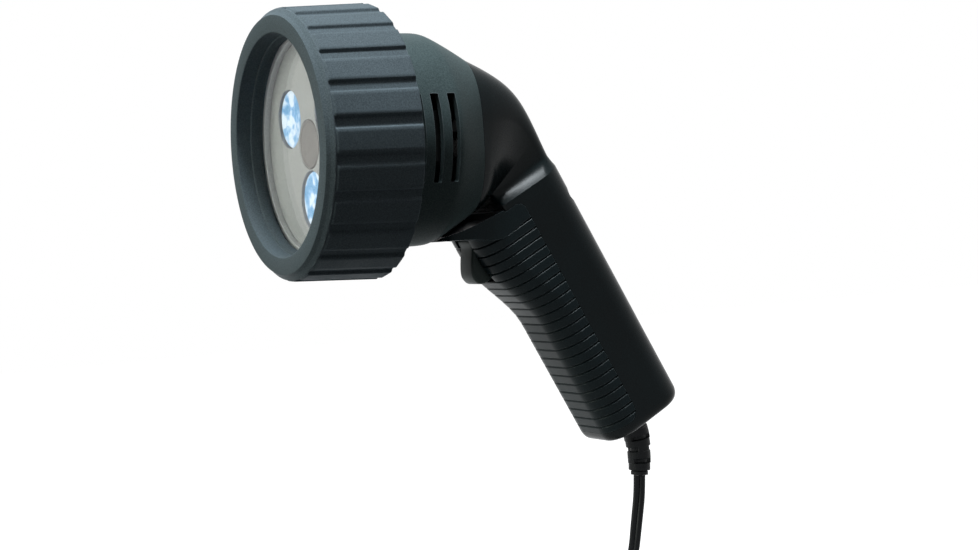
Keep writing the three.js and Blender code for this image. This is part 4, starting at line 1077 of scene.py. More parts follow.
@dataclass
class Bezel:
    """The padded rubber ring round the front."""

    pads: int = 24
    turned: float = math.radians(-1.7)
    groove_depth: float = 1.2
    groove_width: float = 4.0
    groove_start: float = 2.9
    groove_shoulder: float = 0.55
    flatness: float = 0.8
    pad_columns: int = 7
    chamfer_length: float = 3.0
    taper: float = 1.3
    pad_step: float = 0.5
    body_rows: int = 14
    glass_radius: float = 41.7
    glass_front: float = 9.6
    bowl_radius: float = 40.0
    sleeve_wall: float = 1.6
    outer_wall: float = 1.3
    recess: float = 5.6
    collar_back: float = 23.7
    outer_depth: float = 1.6
    outer_start: float = 2.0
    flat_run: float = 3.0

    def build(self) -> Solid:
        """Builds the ring."""
        low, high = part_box("bezel_ring")
        radius = (high.z - low.z) / 2 / MM
        length = (high.y - low.y) / MM
        profile = self.profile(radius, length)
        angles = self.columns(radius)
        rings = []
        for r, along in profile:
            outer = r > radius - self.taper - self.outer_depth and along > self.outer_start
            floor = radius - self.groove_depth - self.narrowed(length, along)
            rings.append([self.point(r, along, angle, floor, outer) for angle in angles])
        ring = skin("bezel_ring_rubber", head_to_row(np.array(rings)), Ends.JOINED)
        return install(ring, Body.LAMP, ["bezel_ring"], BEZEL_RUBBER, 50)

    def profile(self, radius: float, length: float) -> Outline:
        """Returns the ring's section as (radius, along) points."""
        inner = self.glass_radius - 2
        step = inner + 0.5
        sleeve = self.glass_radius + FITTING_GAP + self.sleeve_wall
        wall = radius - self.groove_depth - self.outer_wall
        bore = self.bowl_radius + FITTING_GAP
        front = radius - self.taper
        begin = self.groove_start
        places = [begin - 0.2, begin, begin + 0.2, begin + 0.45, begin + 0.7, begin + 1.0, begin + 1.4]
        places += [mix(begin + 2, length - 1.6, i / self.body_rows) for i in range(self.body_rows + 1)]
        rows = [(self.outside(radius, length, a), a, 0.0) for a in places]
        return filleted([
            (step + 1.3, 0, 0.4), (front - 2.8, 0, 0.2), (front - 1.9, 1.4, 0.3), (front - 1.0, 2.3, 0.2),
            *rows, (radius, length, 0.7), (wall, length, 0.4),
            (wall, length - self.recess, 0.5), (sleeve, length - self.recess, 0.5), (sleeve, length, 0.4),
            (bore, length, 0.4), (bore, self.collar_back + FITTING_GAP, 0.0),
            (self.glass_radius + FITTING_GAP, self.collar_back + FITTING_GAP, 0.0),
            (self.glass_radius + FITTING_GAP, self.glass_front - FITTING_GAP, 0.0),
            (inner, self.glass_front - FITTING_GAP, 0.25), (step, 5.6, 0.35), (step + 0.7, 5.6, 0.15),
        ], 4)

    def narrowed(self, length: float, along: float) -> float:
        """Returns how much the taper takes off the radius at a place along the ring."""
        return self.taper * (length - along) / (length - self.chamfer_length)

    def outside(self, radius: float, length: float, along: float) -> float:
        """Returns the padded outside's radius: it grows to the back, and the pads step up from the nose."""
        taper = self.narrowed(length, along)
        return radius - taper - self.pad_step * (1 - eased((along - self.groove_start - 0.35) / 0.5))

    def columns(self, radius: float) -> list[float]:
        """Returns the angles of the ring's columns, closer together at the grooves."""
        half = self.groove_width / 2
        near = [0.0, 0.5 * half, half - self.groove_shoulder, half - self.groove_shoulder / 2, half,
                half + self.groove_shoulder / 2, half + self.groove_shoulder]
        offsets = sorted({-v for v in near} | set(near))
        pitch = TURN / self.pads
        edge = near[-1] / radius
        angles = []
        for i in range(self.pads):
            middle = pitch * (i + 0.5) + self.turned
            angles += [middle + v / radius for v in offsets]
            angles += [mix(middle + edge, middle + pitch - edge, k / self.pad_columns)
                       for k in range(1, self.pad_columns)]
        return angles

    def point(self, r: float, along: float, angle: float, floor: float,
              outer: bool) -> tuple[float, float, float]:
        """Places one point of the ring.

        Args:
            r: The profile's radius there.
            along: The profile's place.
            angle: The angle about the beam's axis.
            floor: The radius of the grooves' floor there.
            outer: Whether the point belongs to the padded outside.

        Returns:
            The point in the head's frame.
        """
        if outer:
            pitch = TURN / self.pads
            off = ((angle - self.turned) / pitch) % 1 - 0.5
            from_groove = abs(off) * pitch * r - self.groove_width / 2
            from_middle = (0.5 - abs(off)) * pitch
            begun = eased((along - self.groove_start) / 0.5)
            half_pad = pitch / 2 - self.groove_width / 2 / r
            if from_groove > 0:
                flat = math.cos(half_pad) / math.cos(min(from_middle, half_pad))
                r *= mix(1, flat, self.flatness * eased((along - self.outer_start) / self.flat_run))
            shoulder = self.groove_shoulder
            sunk = begun * (1 - eased((from_groove + shoulder) / (2 * shoulder)))
            r = min(r, mix(r, floor, sunk))
        return (r * math.cos(angle), along, r * math.sin(angle))


@dataclass
class FrontStack:
    """The glass, the spacer ring behind it, the drilled plate and the lenses in it."""

    radius: float = 41.7
    segments: int = 160
    spacer_width: float = 2.0
    spacer_play: float = 0.02
    spacer_round: float = 0.1
    lens_count: int = 3
    lens_pitch: float = 21.0
    uv_radius: float = 11.0
    uv_hole: float = 11.1
    white_hole: float = 9.3
    lens_play: float = 0.1
    spacing: float = 0.4
    hole_round: float = 0.25
    lens_length: float = 9.8
    foot: float = 4.2
    dish: float = 0.9
    recess: float = 1.2
    flush: float = 0.15
    bead: float = 1.2
    flange: float = 1.2

    def build(self) -> None:
        """Builds the whole stack."""
        self.glass()
        self.spacer()
        self.plate()
        for number, (x, up) in enumerate(self.places(), 1):
            self.lens(f"uv_lens_{number}", (x, up), self.uv_radius, self.uv_hole, self.dish, UV_LENS)
        self.lens("white_lens", (0.0, 0.0), self.white_radius(), self.white_hole, 0.0, WHITE_LENS)

    def white_radius(self) -> float:
        """Returns the middle lens's radius."""
        return self.lens_pitch - self.uv_radius - self.spacing

    def places(self) -> list[tuple[float, float]]:
        """Returns the ultraviolet lenses' (x, up) places."""
        angles = [-TURN / 4 + TURN * i / self.lens_count for i in range(self.lens_count)]
        return [(self.lens_pitch * math.cos(a), self.lens_pitch * math.sin(a)) for a in angles]

    def span(self, node: str) -> tuple[float, float]:
        """Returns where a node starts and ends along the beam's axis, in millimetres."""
        low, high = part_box(node)
        return (low.y - HEAD_ORIGIN[1]) / MM, (high.y - HEAD_ORIGIN[1]) / MM

    def glass(self) -> None:
        """Builds the front glass with ground edges."""
        front, back = self.span("front_glass")
        profile = [(0, front), (self.radius - 0.4, front), (self.radius, front + 0.4),
                   (self.radius, back - 0.4), (self.radius - 0.4, back), (0, back)]
        glass = revolved("front_glass_disc", profile, self.segments)
        install(glass, Body.LAMP, ["front_glass"], FRONT_GLASS)

    def spacer(self) -> None:
        """Builds the ring between the glass and the plate."""
        front, _ = self.span("glass_gasket")
        back, _ = self.span("reflector_plate")
        back -= self.spacer_play
        profile = rectangle(self.radius - self.spacer_width, self.radius, front, back, self.spacer_round, 3)
        ring = revolved("spacer_ring", profile, self.segments)
        install(ring, Body.LAMP, ["glass_gasket"], SPACER_SILICONE)

    def plate(self) -> None:
        """Builds the plate with its four bevelled holes."""
        front, back = self.span("reflector_plate")
        profile = [(0, front), (self.radius - 0.2, front), (self.radius, front + 0.2), (self.radius, back),
                   (0, back)]
        plate = revolved("reflector_plate_disc", profile, self.segments)
        holes = [(x, up, self.uv_hole) for x, up in self.places()]
        holes.append((0.0, 0.0, self.white_hole))
        for x, up, radius in holes:
            edge = self.hole_round
            total = back - front + 2
            profile = [(0, radius + edge + 1), (1 / total, radius + edge), ((1 + edge) / total, radius),
                       (1, radius)]
            drill(plate, (x, front - 1, up), (x, back + 1, up), profile, 96, head_to_row)
        install(plate, Body.LAMP, ["reflector_plate"], PLATE_GREY, 30)

    def lens(self, node: str, place: tuple[float, float], radius: float, hole: float, dish: float,
             finish: Finish) -> None:
        """Builds a cone lens with a flange, whose face stands in the plate's hole.

        Args:
            node: The CAD node that it stands for.
            place: Its (x, up) place.
            radius: Its flange's radius.
            hole: The radius of the plate's hole over it.
            dish: How deep its face is dished.
            finish: Its finish.
        """
        front, _ = self.span(node)
        plate, _ = self.span("reflector_plate")
        raised = hole - self.lens_play
        face = plate + (self.recess if dish else self.flush)
        dished = [((raised - self.bead) * k / 8, face + dish * (1 - (k / 8) ** 2)) for k in range(9)]
        if not dish:
            dished += [(raised - self.bead + 0.2, face - self.flush), (raised - 0.4, face - self.flush)]
        rim, foot = max(radius, raised + 0.1), front + self.lens_length
        profile = dished + [
            (raised - 0.3, face), (raised, face + 0.3), (raised, front), (rim, front),
            (rim, front + self.flange), (radius - 0.6, front + self.flange), (self.foot, foot), (0, foot),
        ]
        x, up = place
        lens = revolved(f"{node}_cone", profile, 72,
                        lambda points: head_to_row(points + np.array([x, 0, up])))
        install(lens, Body.LAMP, [node], finish, 30)


@dataclass
class Bowl:
    """The vented housing behind the bezel, a straight drum that tapers to the neck."""

    radius: float = 40.0
    wall: float = 2.6
    collar_front: float = 16.9
    collar_back: float = 23.7
    collar_radius: float = 41.7
    shoulder: float = 57.0
    back: float = 74.0
    seam_half_width: float = 24.6
    seam_half_height: float = 30.8
    seam_power: float = 2.6
    shoulder_round: float = 0.09
    swell: float = 0.6
    swell_from: float = 36.9
    lead_hole: float = 9.0
    vent_first: float = 40.75
    vent_pitch: float = 6.95
    vent_count: int = 3
    vent_width: float = 3.3
    vent_round: float = 0.4
    vent_top: float = 15.0
    vent_bottom: float = -17.4
    screw_x: float = 12.0
    screw_up: float = 17.0
    screw_hole: float = 1.8
    count: int = 192
    bands: int = 44

    def ring(self, along: float, inset: float) -> np.ndarray:
        """Draws the bowl's section.

        Args:
            along: Its place along the beam's axis.
            inset: How far inside the outer skin it lies.

        Returns:
            The section's points, in the head's frame.
        """
        share = (along - self.shoulder) / (self.back - self.shoulder)
        soft = self.shoulder_round
        excess = 0.5 * (math.sqrt(1 + soft * soft) - 1)
        bent = 0.5 * (share + math.sqrt(share * share + soft * soft)) - excess * max(share, 0)
        bent = min(max(bent, 0), 1)
        swell = self.swell * eased((along - self.swell_from) / 3)
        width = mix(self.radius + swell, self.seam_half_width, bent) - inset
        height = mix(self.radius + swell, self.seam_half_height, bent) - inset
        flat = superellipse(width, height, mix(2, self.seam_power, bent), self.count)
        return np.insert(flat, 1, along, axis=1)

    def disc(self, radius: float, along: float) -> np.ndarray:
        """Draws a round ring in the head's frame."""
        return np.insert(superellipse(radius, radius, 2, self.count), 1, along, axis=1)

    def build(self) -> Solid:
        """Builds the housing with its vents."""
        run = list(np.linspace(self.collar_back + 0.8, self.back - 0.4, self.bands))
        edge = [(self.back - 0.2, 0.03), (self.back - 0.06, 0.12), (self.back, 0.3)]
        rings = [self.disc(self.collar_radius, a) for a in (self.collar_front, self.collar_back)]
        rings += [self.disc(self.radius + 0.3, self.collar_back), self.ring(self.collar_back + 0.3, 0)]
        rings += [self.ring(a, 0) for a in run] + [self.ring(a, inset) for a, inset in edge]
        floor = self.back - self.wall
        rings += [self.disc(self.lead_hole, self.back), self.disc(self.lead_hole, floor)]
        rings += [self.ring(a, self.wall) for a in reversed([b for b in run if b < floor - 1] + [floor])]
        rings += [self.disc(self.radius - self.wall, self.collar_front)]
        bowl = skin("bowl_housing_shell", head_to_row(np.array(rings)), Ends.JOINED)
        for side in (-1, 1):
            for i in range(self.vent_count):
                combine(bowl, self.vent(side, self.vent_first + self.vent_pitch * i), Join.CUT)
        for x in (-self.screw_x, self.screw_x):
            for up in (-self.screw_up, self.screw_up):
                drill(bowl, (x, floor - 3, up), (x, self.back + 3, up),
                      [(0, self.screw_hole), (1, self.screw_hole)], 32, head_to_row)
        return install(bowl, Body.LAMP, ["bowl_housing"], BOWL_ABS, 40)

    def vent(self, side: int, middle: float) -> Solid:
        """Makes the cutter of one vent, with a small round at its corners."""
        half = self.vent_width / 2
        outline = rectangle(middle - half, middle + half, self.vent_bottom, self.vent_top, self.vent_round, 3)
        low, high = sorted((side * (self.radius - self.wall - 8), side * (self.radius + 4)))
        return prism("vent", outline, low, high, head_to_row)


@dataclass
class HandleShape:
    """The sizes that the neck, the palm side and the grip insert share, in the grip's frame."""

    half_width: float = 17.4
    front: float = 55.6
    back: float = 93.6
    finger_front: float = 46.5
    split: float = 69.4
    shoulder: float = 63.5
    waist_front: float = 61.0
    waist_back: float = 92.3
    waist_depth: float = 58.3
    waist_half_width: float = 12.5
    butt: float = 170.0
    insert_top: float = 66.1
    insert_bottom: float = 165.3
    wall: float = 2.6
    pocket_top: float = 71.0
    pocket_bottom: float = 161.5
    relief_place: float = 73.6
    relief_hole: float = 5.9
    top_round: float = 3.2
    bottom_round: float = 5.0

    def insert_outline(self, grow: float) -> Outline:
        """Draws the grip insert's side outline.

        Args:
            grow: How much bigger it is all round.

        Returns:
            (across, depth) points: far in front, with a round at the two corners by the palm.
        """
        far = -20.0
        return filleted([
            (far, self.insert_top - grow, 0), (self.split + grow, self.insert_top - grow, self.top_round),
            (self.split + grow, self.insert_bottom + grow, self.bottom_round),
            (far, self.insert_bottom + grow, 0),
        ], 10)

    def drill_relief(self, body: Solid) -> None:
        """Drills the strain relief's hole through the butt."""
        drill(body, (0, self.relief_place, self.pocket_bottom - 3), (0, self.relief_place, self.butt + 3),
              [(0, self.relief_hole), (1, self.relief_hole)], 64, grip_to_row)


@dataclass
class Handle:
    """The neck and the palm side of the handle, in one moulding."""

    shape: HandleShape
    bowl: Bowl
    neck_slope: float = 28.8
    over_power: float = 2.8
    side_power: float = 1.2
    seam_inset: float = 0.15
    neck_rows: int = 44
    cove_rows: int = 14
    palm_rows: int = 18
    cove_power: float = 1.5
    corner_steps: int = 22
    back_corner: float = 12.0
    front_corner: float = 11.0
    waist_corner: float = 1.4
    waist_back_corner: float = 5.0
    butt_rise: float = 7.0
    butt_round: float = 4.0
    butt_inset: float = 2.2
    screw_side: float = 10.4
    screw_depths: tuple[float, float] = (76.5, 156.0)
    screw_seat: float = 88.6
    head_hole: float = 3.1

    @property
    def count(self) -> int:
        """How many points each section has."""
        return 4 * (self.corner_steps + 1)

    def build(self) -> Solid:
        """Builds the moulding."""
        s = self.shape
        rings = [self.neck_ring(i / self.neck_rows) for i in range(self.neck_rows + 1)]
        rings += [self.cove_ring(k / self.cove_rows) for k in range(1, self.cove_rows + 1)]
        palm = self.palm(0, s.waist_front)
        rings.append(self.at_depth(palm, s.shoulder + 0.15))
        for depth in np.linspace(s.shoulder + 2, s.butt - self.butt_rise - 0.2, self.palm_rows):
            rings.append(self.at_depth(palm, depth))
        rings += self.butt_rings()
        body = skin("handle_body_moulding", head_to_row(np.array(rings)))
        wide = s.half_width + 4
        combine(body, prism("cutter", s.insert_outline(CLOSE_SEAM), -wide, wide, grip_to_row), Join.CUT)
        self.hollow(body)
        return install(body, Body.LAMP, ["handle_body"], HANDLE_NYLON, 38)

    def palm(self, inset: float, front: float) -> np.ndarray:
        """Draws the palm side's section."""
        s = self.shape
        return rounded_box(s.half_width - inset, front, s.back - inset, self.waist_corner,
                           self.back_corner - inset, self.corner_steps)

    def squared(self, half_width: float, front: float, back: float) -> np.ndarray:
        """Draws the waist's boxy section."""
        return rounded_box(half_width, front, back, self.waist_corner, self.waist_back_corner,
                           self.corner_steps)

    def at_depth(self, section: np.ndarray, depth: float) -> np.ndarray:
        """Puts an (x, across) section at a depth, as points of the head's frame."""
        return grip_to_head(np.insert(section, 2, depth, axis=1))

    def under(self, share: float) -> np.ndarray:
        """Returns the neck's underside at a share of the way to the waist, as (along, up)."""
        s, b = self.shape, self.bowl
        waist = grip_to_head([0, s.waist_front, s.waist_depth])[1:]
        return mix(np.array([b.back + CLOSE_SEAM, -b.seam_half_height]), waist, share)

    def over(self, share: float) -> np.ndarray:
        """Returns the neck's back, bent from one slope to the other, as (along, up)."""
        s, b = self.shape, self.bowl
        slope = math.radians(self.neck_slope)
        start = np.array([b.back + CLOSE_SEAM, b.seam_half_height])
        end = grip_to_head([0, s.waist_back, s.waist_depth])[1:]
        across = head_to_grip([0, *start])[1]
        run = (s.back - across) / math.cos(slope + RAKE)
        corner = start + run * np.array([math.cos(slope), -math.sin(slope)])
        bent = corner + (1 - share) ** self.over_power * (start - corner)
        return bent + share**self.over_power * (end - corner)

    def neck_ring(self, share: float) -> np.ndarray:
        """Draws the neck's section at a share of the way to the waist, in the head's frame."""
        s, b = self.shape, self.bowl
        under, over = self.under(share), self.over(share)
        middle, half = (under + over) / 2, np.linalg.norm(over - under) / 2
        way = (over - under) / (2 * half)
        width = mix(b.seam_half_width, s.waist_half_width, 1 - (1 - share) ** self.side_power)
        inset = self.seam_inset * max(1 - share * 8, 0)
        round_section = superellipse(width - inset, half - inset, b.seam_power, self.count)
        square_section = self.squared(width - inset, inset - half, half - inset)
        flat = mix(round_section, square_section, share)
        spot = middle + flat[:, 1:] * way
        return np.stack([flat[:, 0], spot[:, 0], spot[:, 1]], axis=-1)

    def cove_ring(self, share: float) -> np.ndarray:
        """Draws a section of the hollow sweep from the waist out to the shoulder."""
        s = self.shape
        waist = self.squared(s.waist_half_width, s.waist_front, s.waist_back)
        palm = self.palm(0, s.waist_front)
        return self.at_depth(mix(waist, palm, share**self.cove_power), mix(s.waist_depth, s.shoulder, share))

    def butt_rings(self) -> list[np.ndarray]:
        """Draws the butt's sections, which round off at the end."""
        s = self.shape
        rings = []
        steps = [(0, s.butt - self.butt_rise), (0, s.butt - self.butt_round)]
        for k in range(1, 9):
            angle = k / 8 * math.pi / 2
            steps.append((self.butt_inset * (1 - math.cos(angle)),
                          s.butt - self.butt_round * (1 - math.sin(angle))))
        for inset, depth in steps:
            section = rounded_box(s.half_width - inset, s.front + inset, s.back - inset,
                                  self.front_corner - inset, self.back_corner - inset, self.corner_steps)
            rings.append(self.at_depth(section, depth))
        return rings

    def hollow(self, body: Solid) -> None:
        """Cuts the pocket, the screws' counterbores and the strain relief's hole."""
        s = self.shape
        section = self.palm(s.wall, s.split - 2)
        pocket = [self.at_depth(section, depth) for depth in (s.pocket_top, s.pocket_bottom)]
        combine(body, skin("pocket", head_to_row(np.array(pocket))), Join.CUT)
        for side, depth in zip((1, -1), self.screw_depths):
            x = side * self.screw_side
            profile = [(0, self.head_hole), (0.85, self.head_hole), (1, self.head_hole + 0.3)]
            drill(body, (x, self.screw_seat, depth), (x, s.back + 2, depth), profile, 48, grip_to_row)
        s.drill_relief(body)


@dataclass
class GripInsert:
    """The ribbed finger side of the handle, with a hood that reaches forward over the trigger."""

    shape: HandleShape
    bowl: Bowl
    corner: float = 11.0
    corner_steps: int = 20
    groove_count: int = 23
    groove_first: float = 73.8
    groove_pitch: float = 4.032
    groove_half: float = 0.5
    groove_depth: float = 0.55
    groove_wall: float = 0.25
    groove_ramp: float = 1.1
    groove_steps: int = 8
    straight: float = 13.9
    ease: float = 35.0
    hood_nose: float = 57.2
    hood_length: float = 36.8
    hood_half_width: float = 9.0
    hood_run: float = 15.8
    hood_clearance: float = 0.8
    hood_wall: float = 1.6
    hood_floor: float = 1.3
    hood_top: tuple[tuple[float, float], ...] = (
        (1, 0.625), (0.78, 0.71), (0.552, 0.793), (0.389, 0.85), (0.247, 0.898), (0.106, 0.945),
        (0.02, 0.972),
    )
    hood_bottom: tuple[tuple[float, float], ...] = (
        (0.0, 0.975), (0.084, 0.98), (0.293, 0.978), (0.43, 0.985), (0.592, 1.0), (0.742, 0.975),
        (1, 0.82),
    )
    hood_sag: float = 0.3
    hood_rows: int = 46
    hood_columns: int = 25
    envelope_front: float = 36.0
    envelope_rows: int = 40
    pocket_rows: int = 30
    scoop_top: float = 9.0
    scoop_floor: float = 0.8
    slot_half: float = 5.9
    slot_front: float = 30.0
    slot_back: float = 57.0
    slot_top: float = 69.1
    slot_bottom: float = 90.0

    def front(self, depth: float) -> float:
        """Returns the finger side's front at a depth: straight, then eased back to the handle's."""
        s = self.shape
        share = (depth - s.insert_top - self.straight) / self.ease
        return mix(s.finger_front, s.front, eased(share))

    def ring(self, depth: float, inset: float, back: float) -> np.ndarray:
        """Draws the finger side's section.

        Args:
            depth: Its depth.
            inset: How far inside the outer skin it lies.
            back: Where it ends toward the palm.

        Returns:
            The points, in the grip's frame.
        """
        half = self.shape.half_width - inset
        front = self.front(depth) + inset
        radius = self.corner - inset
        points = [(half, back, depth)]
        for side in (0, 1):
            x = (half - radius) * (1 - 2 * side)
            for step in range(self.corner_steps + 1):
                angle = -TURN * (side + step / self.corner_steps) / 4
                y = front + radius + radius * math.sin(angle)
                points.append((x + radius * math.cos(angle), y, depth))
        points.append((-half, back, depth))
        return np.array(points)

    def build(self) -> Solid:
        """Builds the insert."""
        s = self.shape
        rows = [(s.insert_top, 0.0)]
        for i in range(self.groove_count):
            middle = self.groove_first + self.groove_pitch * i
            for k in range(-self.groove_steps, self.groove_steps + 1):
                off = k / self.groove_steps
                sunk = min((1 + off) / self.groove_wall, (1 - off) / self.groove_ramp, 1)
                rows.append((middle + off * self.groove_half, self.groove_depth * sunk))
        rows.append((s.insert_bottom, 0.0))
        body = skin("grip_insert_rubber", grip_to_row(np.array([self.ring(d, i, s.split) for d, i in rows])))
        combine(body, self.hood(), Join.ADD)
        wide = s.half_width + 4
        rim = s.waist_front - FITTING_GAP
        keeper = [(-20.0, s.waist_depth), (rim, s.waist_depth), (rim, s.insert_top), *s.insert_outline(0)[1:]]
        combine(body, prism("keeper", keeper, -wide, wide, grip_to_row), Join.KEEP)
        combine(body, self.scoop(), Join.CUT)
        pocket = [self.ring(depth, s.wall, s.split + 2)
                  for depth in np.linspace(s.pocket_top, s.pocket_bottom, self.pocket_rows)]
        combine(body, skin("pocket", grip_to_row(np.array(pocket))), Join.CUT)
        slot = rectangle(self.slot_front, self.slot_back, self.slot_top, self.slot_bottom)
        combine(body, prism("slot", slot, -self.slot_half, self.slot_half, grip_to_row), Join.CUT)
        s.drill_relief(body)
        return install(body, Body.LAMP, ["grip_insert"], GRIP_RUBBER, 38)

    def hood_edge(self, shares: Sequence[tuple[float, float]]) -> np.ndarray:
        """Draws an edge of the hood's side as (along, up), from shares of its length and the bowl's radius."""
        return spline([(self.hood_nose + u * self.hood_length, -v * self.bowl.radius) for u, v in shares], 8)

    def hood(self) -> Solid:
        """Builds the hood: a thin lip that sags a little toward its middle, hollowed to clear the bowl."""
        s, b = self.shape, self.bowl
        top, low = self.hood_edge(self.hood_top[::-1]), self.hood_edge(self.hood_bottom)
        places = np.linspace(max(top[0][0], low[0][0]), self.hood_nose + self.hood_length, self.hood_rows)
        upper, lower = np.interp(places, top[:, 0], top[:, 1]), np.interp(places, low[:, 0], low[:, 1])
        wide = s.half_width
        across = np.linspace(-wide, wide, self.hood_columns)
        rings = []
        for along, high, deep in zip(places, upper, lower):
            sag = self.hood_sag * (1 - (across / wide) ** 2)
            above = [(x, along, high) for x in across]
            below = [(x, along, deep - d) for x, d in zip(across, sag)]
            rings.append(above + below[::-1])
        lip = skin("hood", head_to_row(np.array(rings)))
        combine(lip, self.plan(), Join.KEEP)
        envelope = [b.ring(along, -self.hood_clearance)
                    for along in np.linspace(self.envelope_front, b.back + FITTING_GAP, self.envelope_rows)]
        combine(lip, skin("envelope", head_to_row(np.array(envelope))), Join.CUT)
        window = rectangle(0, s.split, s.waist_depth, s.insert_bottom)
        return combine(lip, prism("window", window, -wide - 2, wide + 2, grip_to_row), Join.KEEP)

    def scoop(self) -> Solid:
        """Builds the space inside the hood, which leaves thin walls round an open top."""
        s = self.shape
        low = self.hood_edge(self.hood_bottom)
        wide = s.half_width
        rings = []
        for along in np.linspace(self.hood_nose, self.hood_nose + self.hood_length, self.hood_rows):
            floor = float(np.interp(along, low[:, 0], low[:, 1])) + self.hood_floor
            rings.append([(-wide, along, floor), (-wide, along, 0), (wide, along, 0), (wide, along, floor)])
        space = skin("scoop", head_to_row(np.array(rings)))
        combine(space, self.plan(self.hood_wall), Join.KEEP)
        rim = s.waist_front - FITTING_GAP - self.hood_wall
        window = rectangle(0, rim, s.waist_depth - self.scoop_top, self.slot_top - self.scoop_floor)
        return combine(space, prism("window", window, -wide - 2, wide + 2, grip_to_row), Join.KEEP)

    def plan(self, inset: float = 0.0) -> Solid:
        """Builds the column of the hood's plan: straight sides that close in a round nose.

        Args:
            inset: How far inside the hood's outside it lies.

        Returns:
            The solid.
        """
        s, b = self.shape, self.bowl
        wide, nose, run = s.half_width - inset, self.hood_nose + inset, self.hood_run
        half, turn = self.hood_half_width, nose + run / 8
        control = [(wide, nose + run), (wide, nose + run / 3), (half, turn)]
        side = [self.bend(*control, k / 12) for k in range(13)]
        tip = [(half, turn), (0.0, nose - run / 8), (-half, turn)]
        front = [self.bend(*tip, k / 12) for k in range(1, 12)]
        far = nose + self.hood_length + 2
        outline = [(wide, far), *side, *front, *[(-x, a) for x, a in reversed(side)], (-wide, far)]
        rings = [[(x, a, up) for x, a in outline] for up in (-2 * b.radius, 0)]
        return skin("plan", head_to_row(np.array(rings)))

    def bend(self, a: Sequence[float], b: Sequence[float], c: Sequence[float],
             share: float) -> tuple[float, float]:
        """Returns a point of the curve from a to c that is drawn toward b."""
        first, second, third = (1 - share) ** 2, 2 * share * (1 - share), share**2
        return (first * a[0] + second * b[0] + third * c[0], first * a[1] + second * b[1] + third * c[1])


@dataclass
class Trigger:
    """The finger lever under the hood, hinged at its top on a steel pin."""

    half_width: float = 5.5
    front: float = 41.2
    thickness: float = 15.2
    top: float = 69.4
    length: float = 18.6
    shares: tuple[tuple[float, float], ...] = (
        (0.41, 0.05), (0.36, 0.23), (0.19, 0.43), (0.04, 0.64), (0, 0.78), (0.06, 0.93), (0.24, 1),
        (0.47, 0.98), (0.61, 0.88), (0.645, 0.57), (0.96, 0.376), (1, 0.086), (0.776, 0),
    )
    round: float = 1.1
    pin_hole: float = 1.8
    pivot: tuple[float, float] = (53.0, 72.6)
    plunger: tuple[float, float] = (83.0, 1.1)
    plunger_reach: float = 1.75
    switch_front: float = 56.7

    def build(self) -> Solid:
        """Builds the lever with its plunger."""
        outline = [tuple(p) for p in spline([
            (self.front + back * self.thickness, self.top + down * self.length) for back, down in self.shares
        ], 5, closed=True)]
        lever = prism("trigger_lever", outline, -self.half_width, self.half_width, grip_to_row)
        softened(lever, self.round, 60, 4)
        depth, radius = self.plunger
        pin = rod("plunger", (0, self.front + self.thickness / 2, depth),
                  (0, self.switch_front + self.plunger_reach, depth),
                  [(0, radius), (0.94, radius), (1, radius * 0.7)], 24, grip_to_row)
        combine(lever, pin, Join.ADD)
        across, down = self.pivot
        drill(lever, (-self.half_width - 1, across, down), (self.half_width + 1, across, down),
              [(0, self.pin_hole), (1, self.pin_hole)], 32, grip_to_row)
        return install(lever, Body.TRIGGER, ["trigger"], TRIGGER_ACETAL, 40)


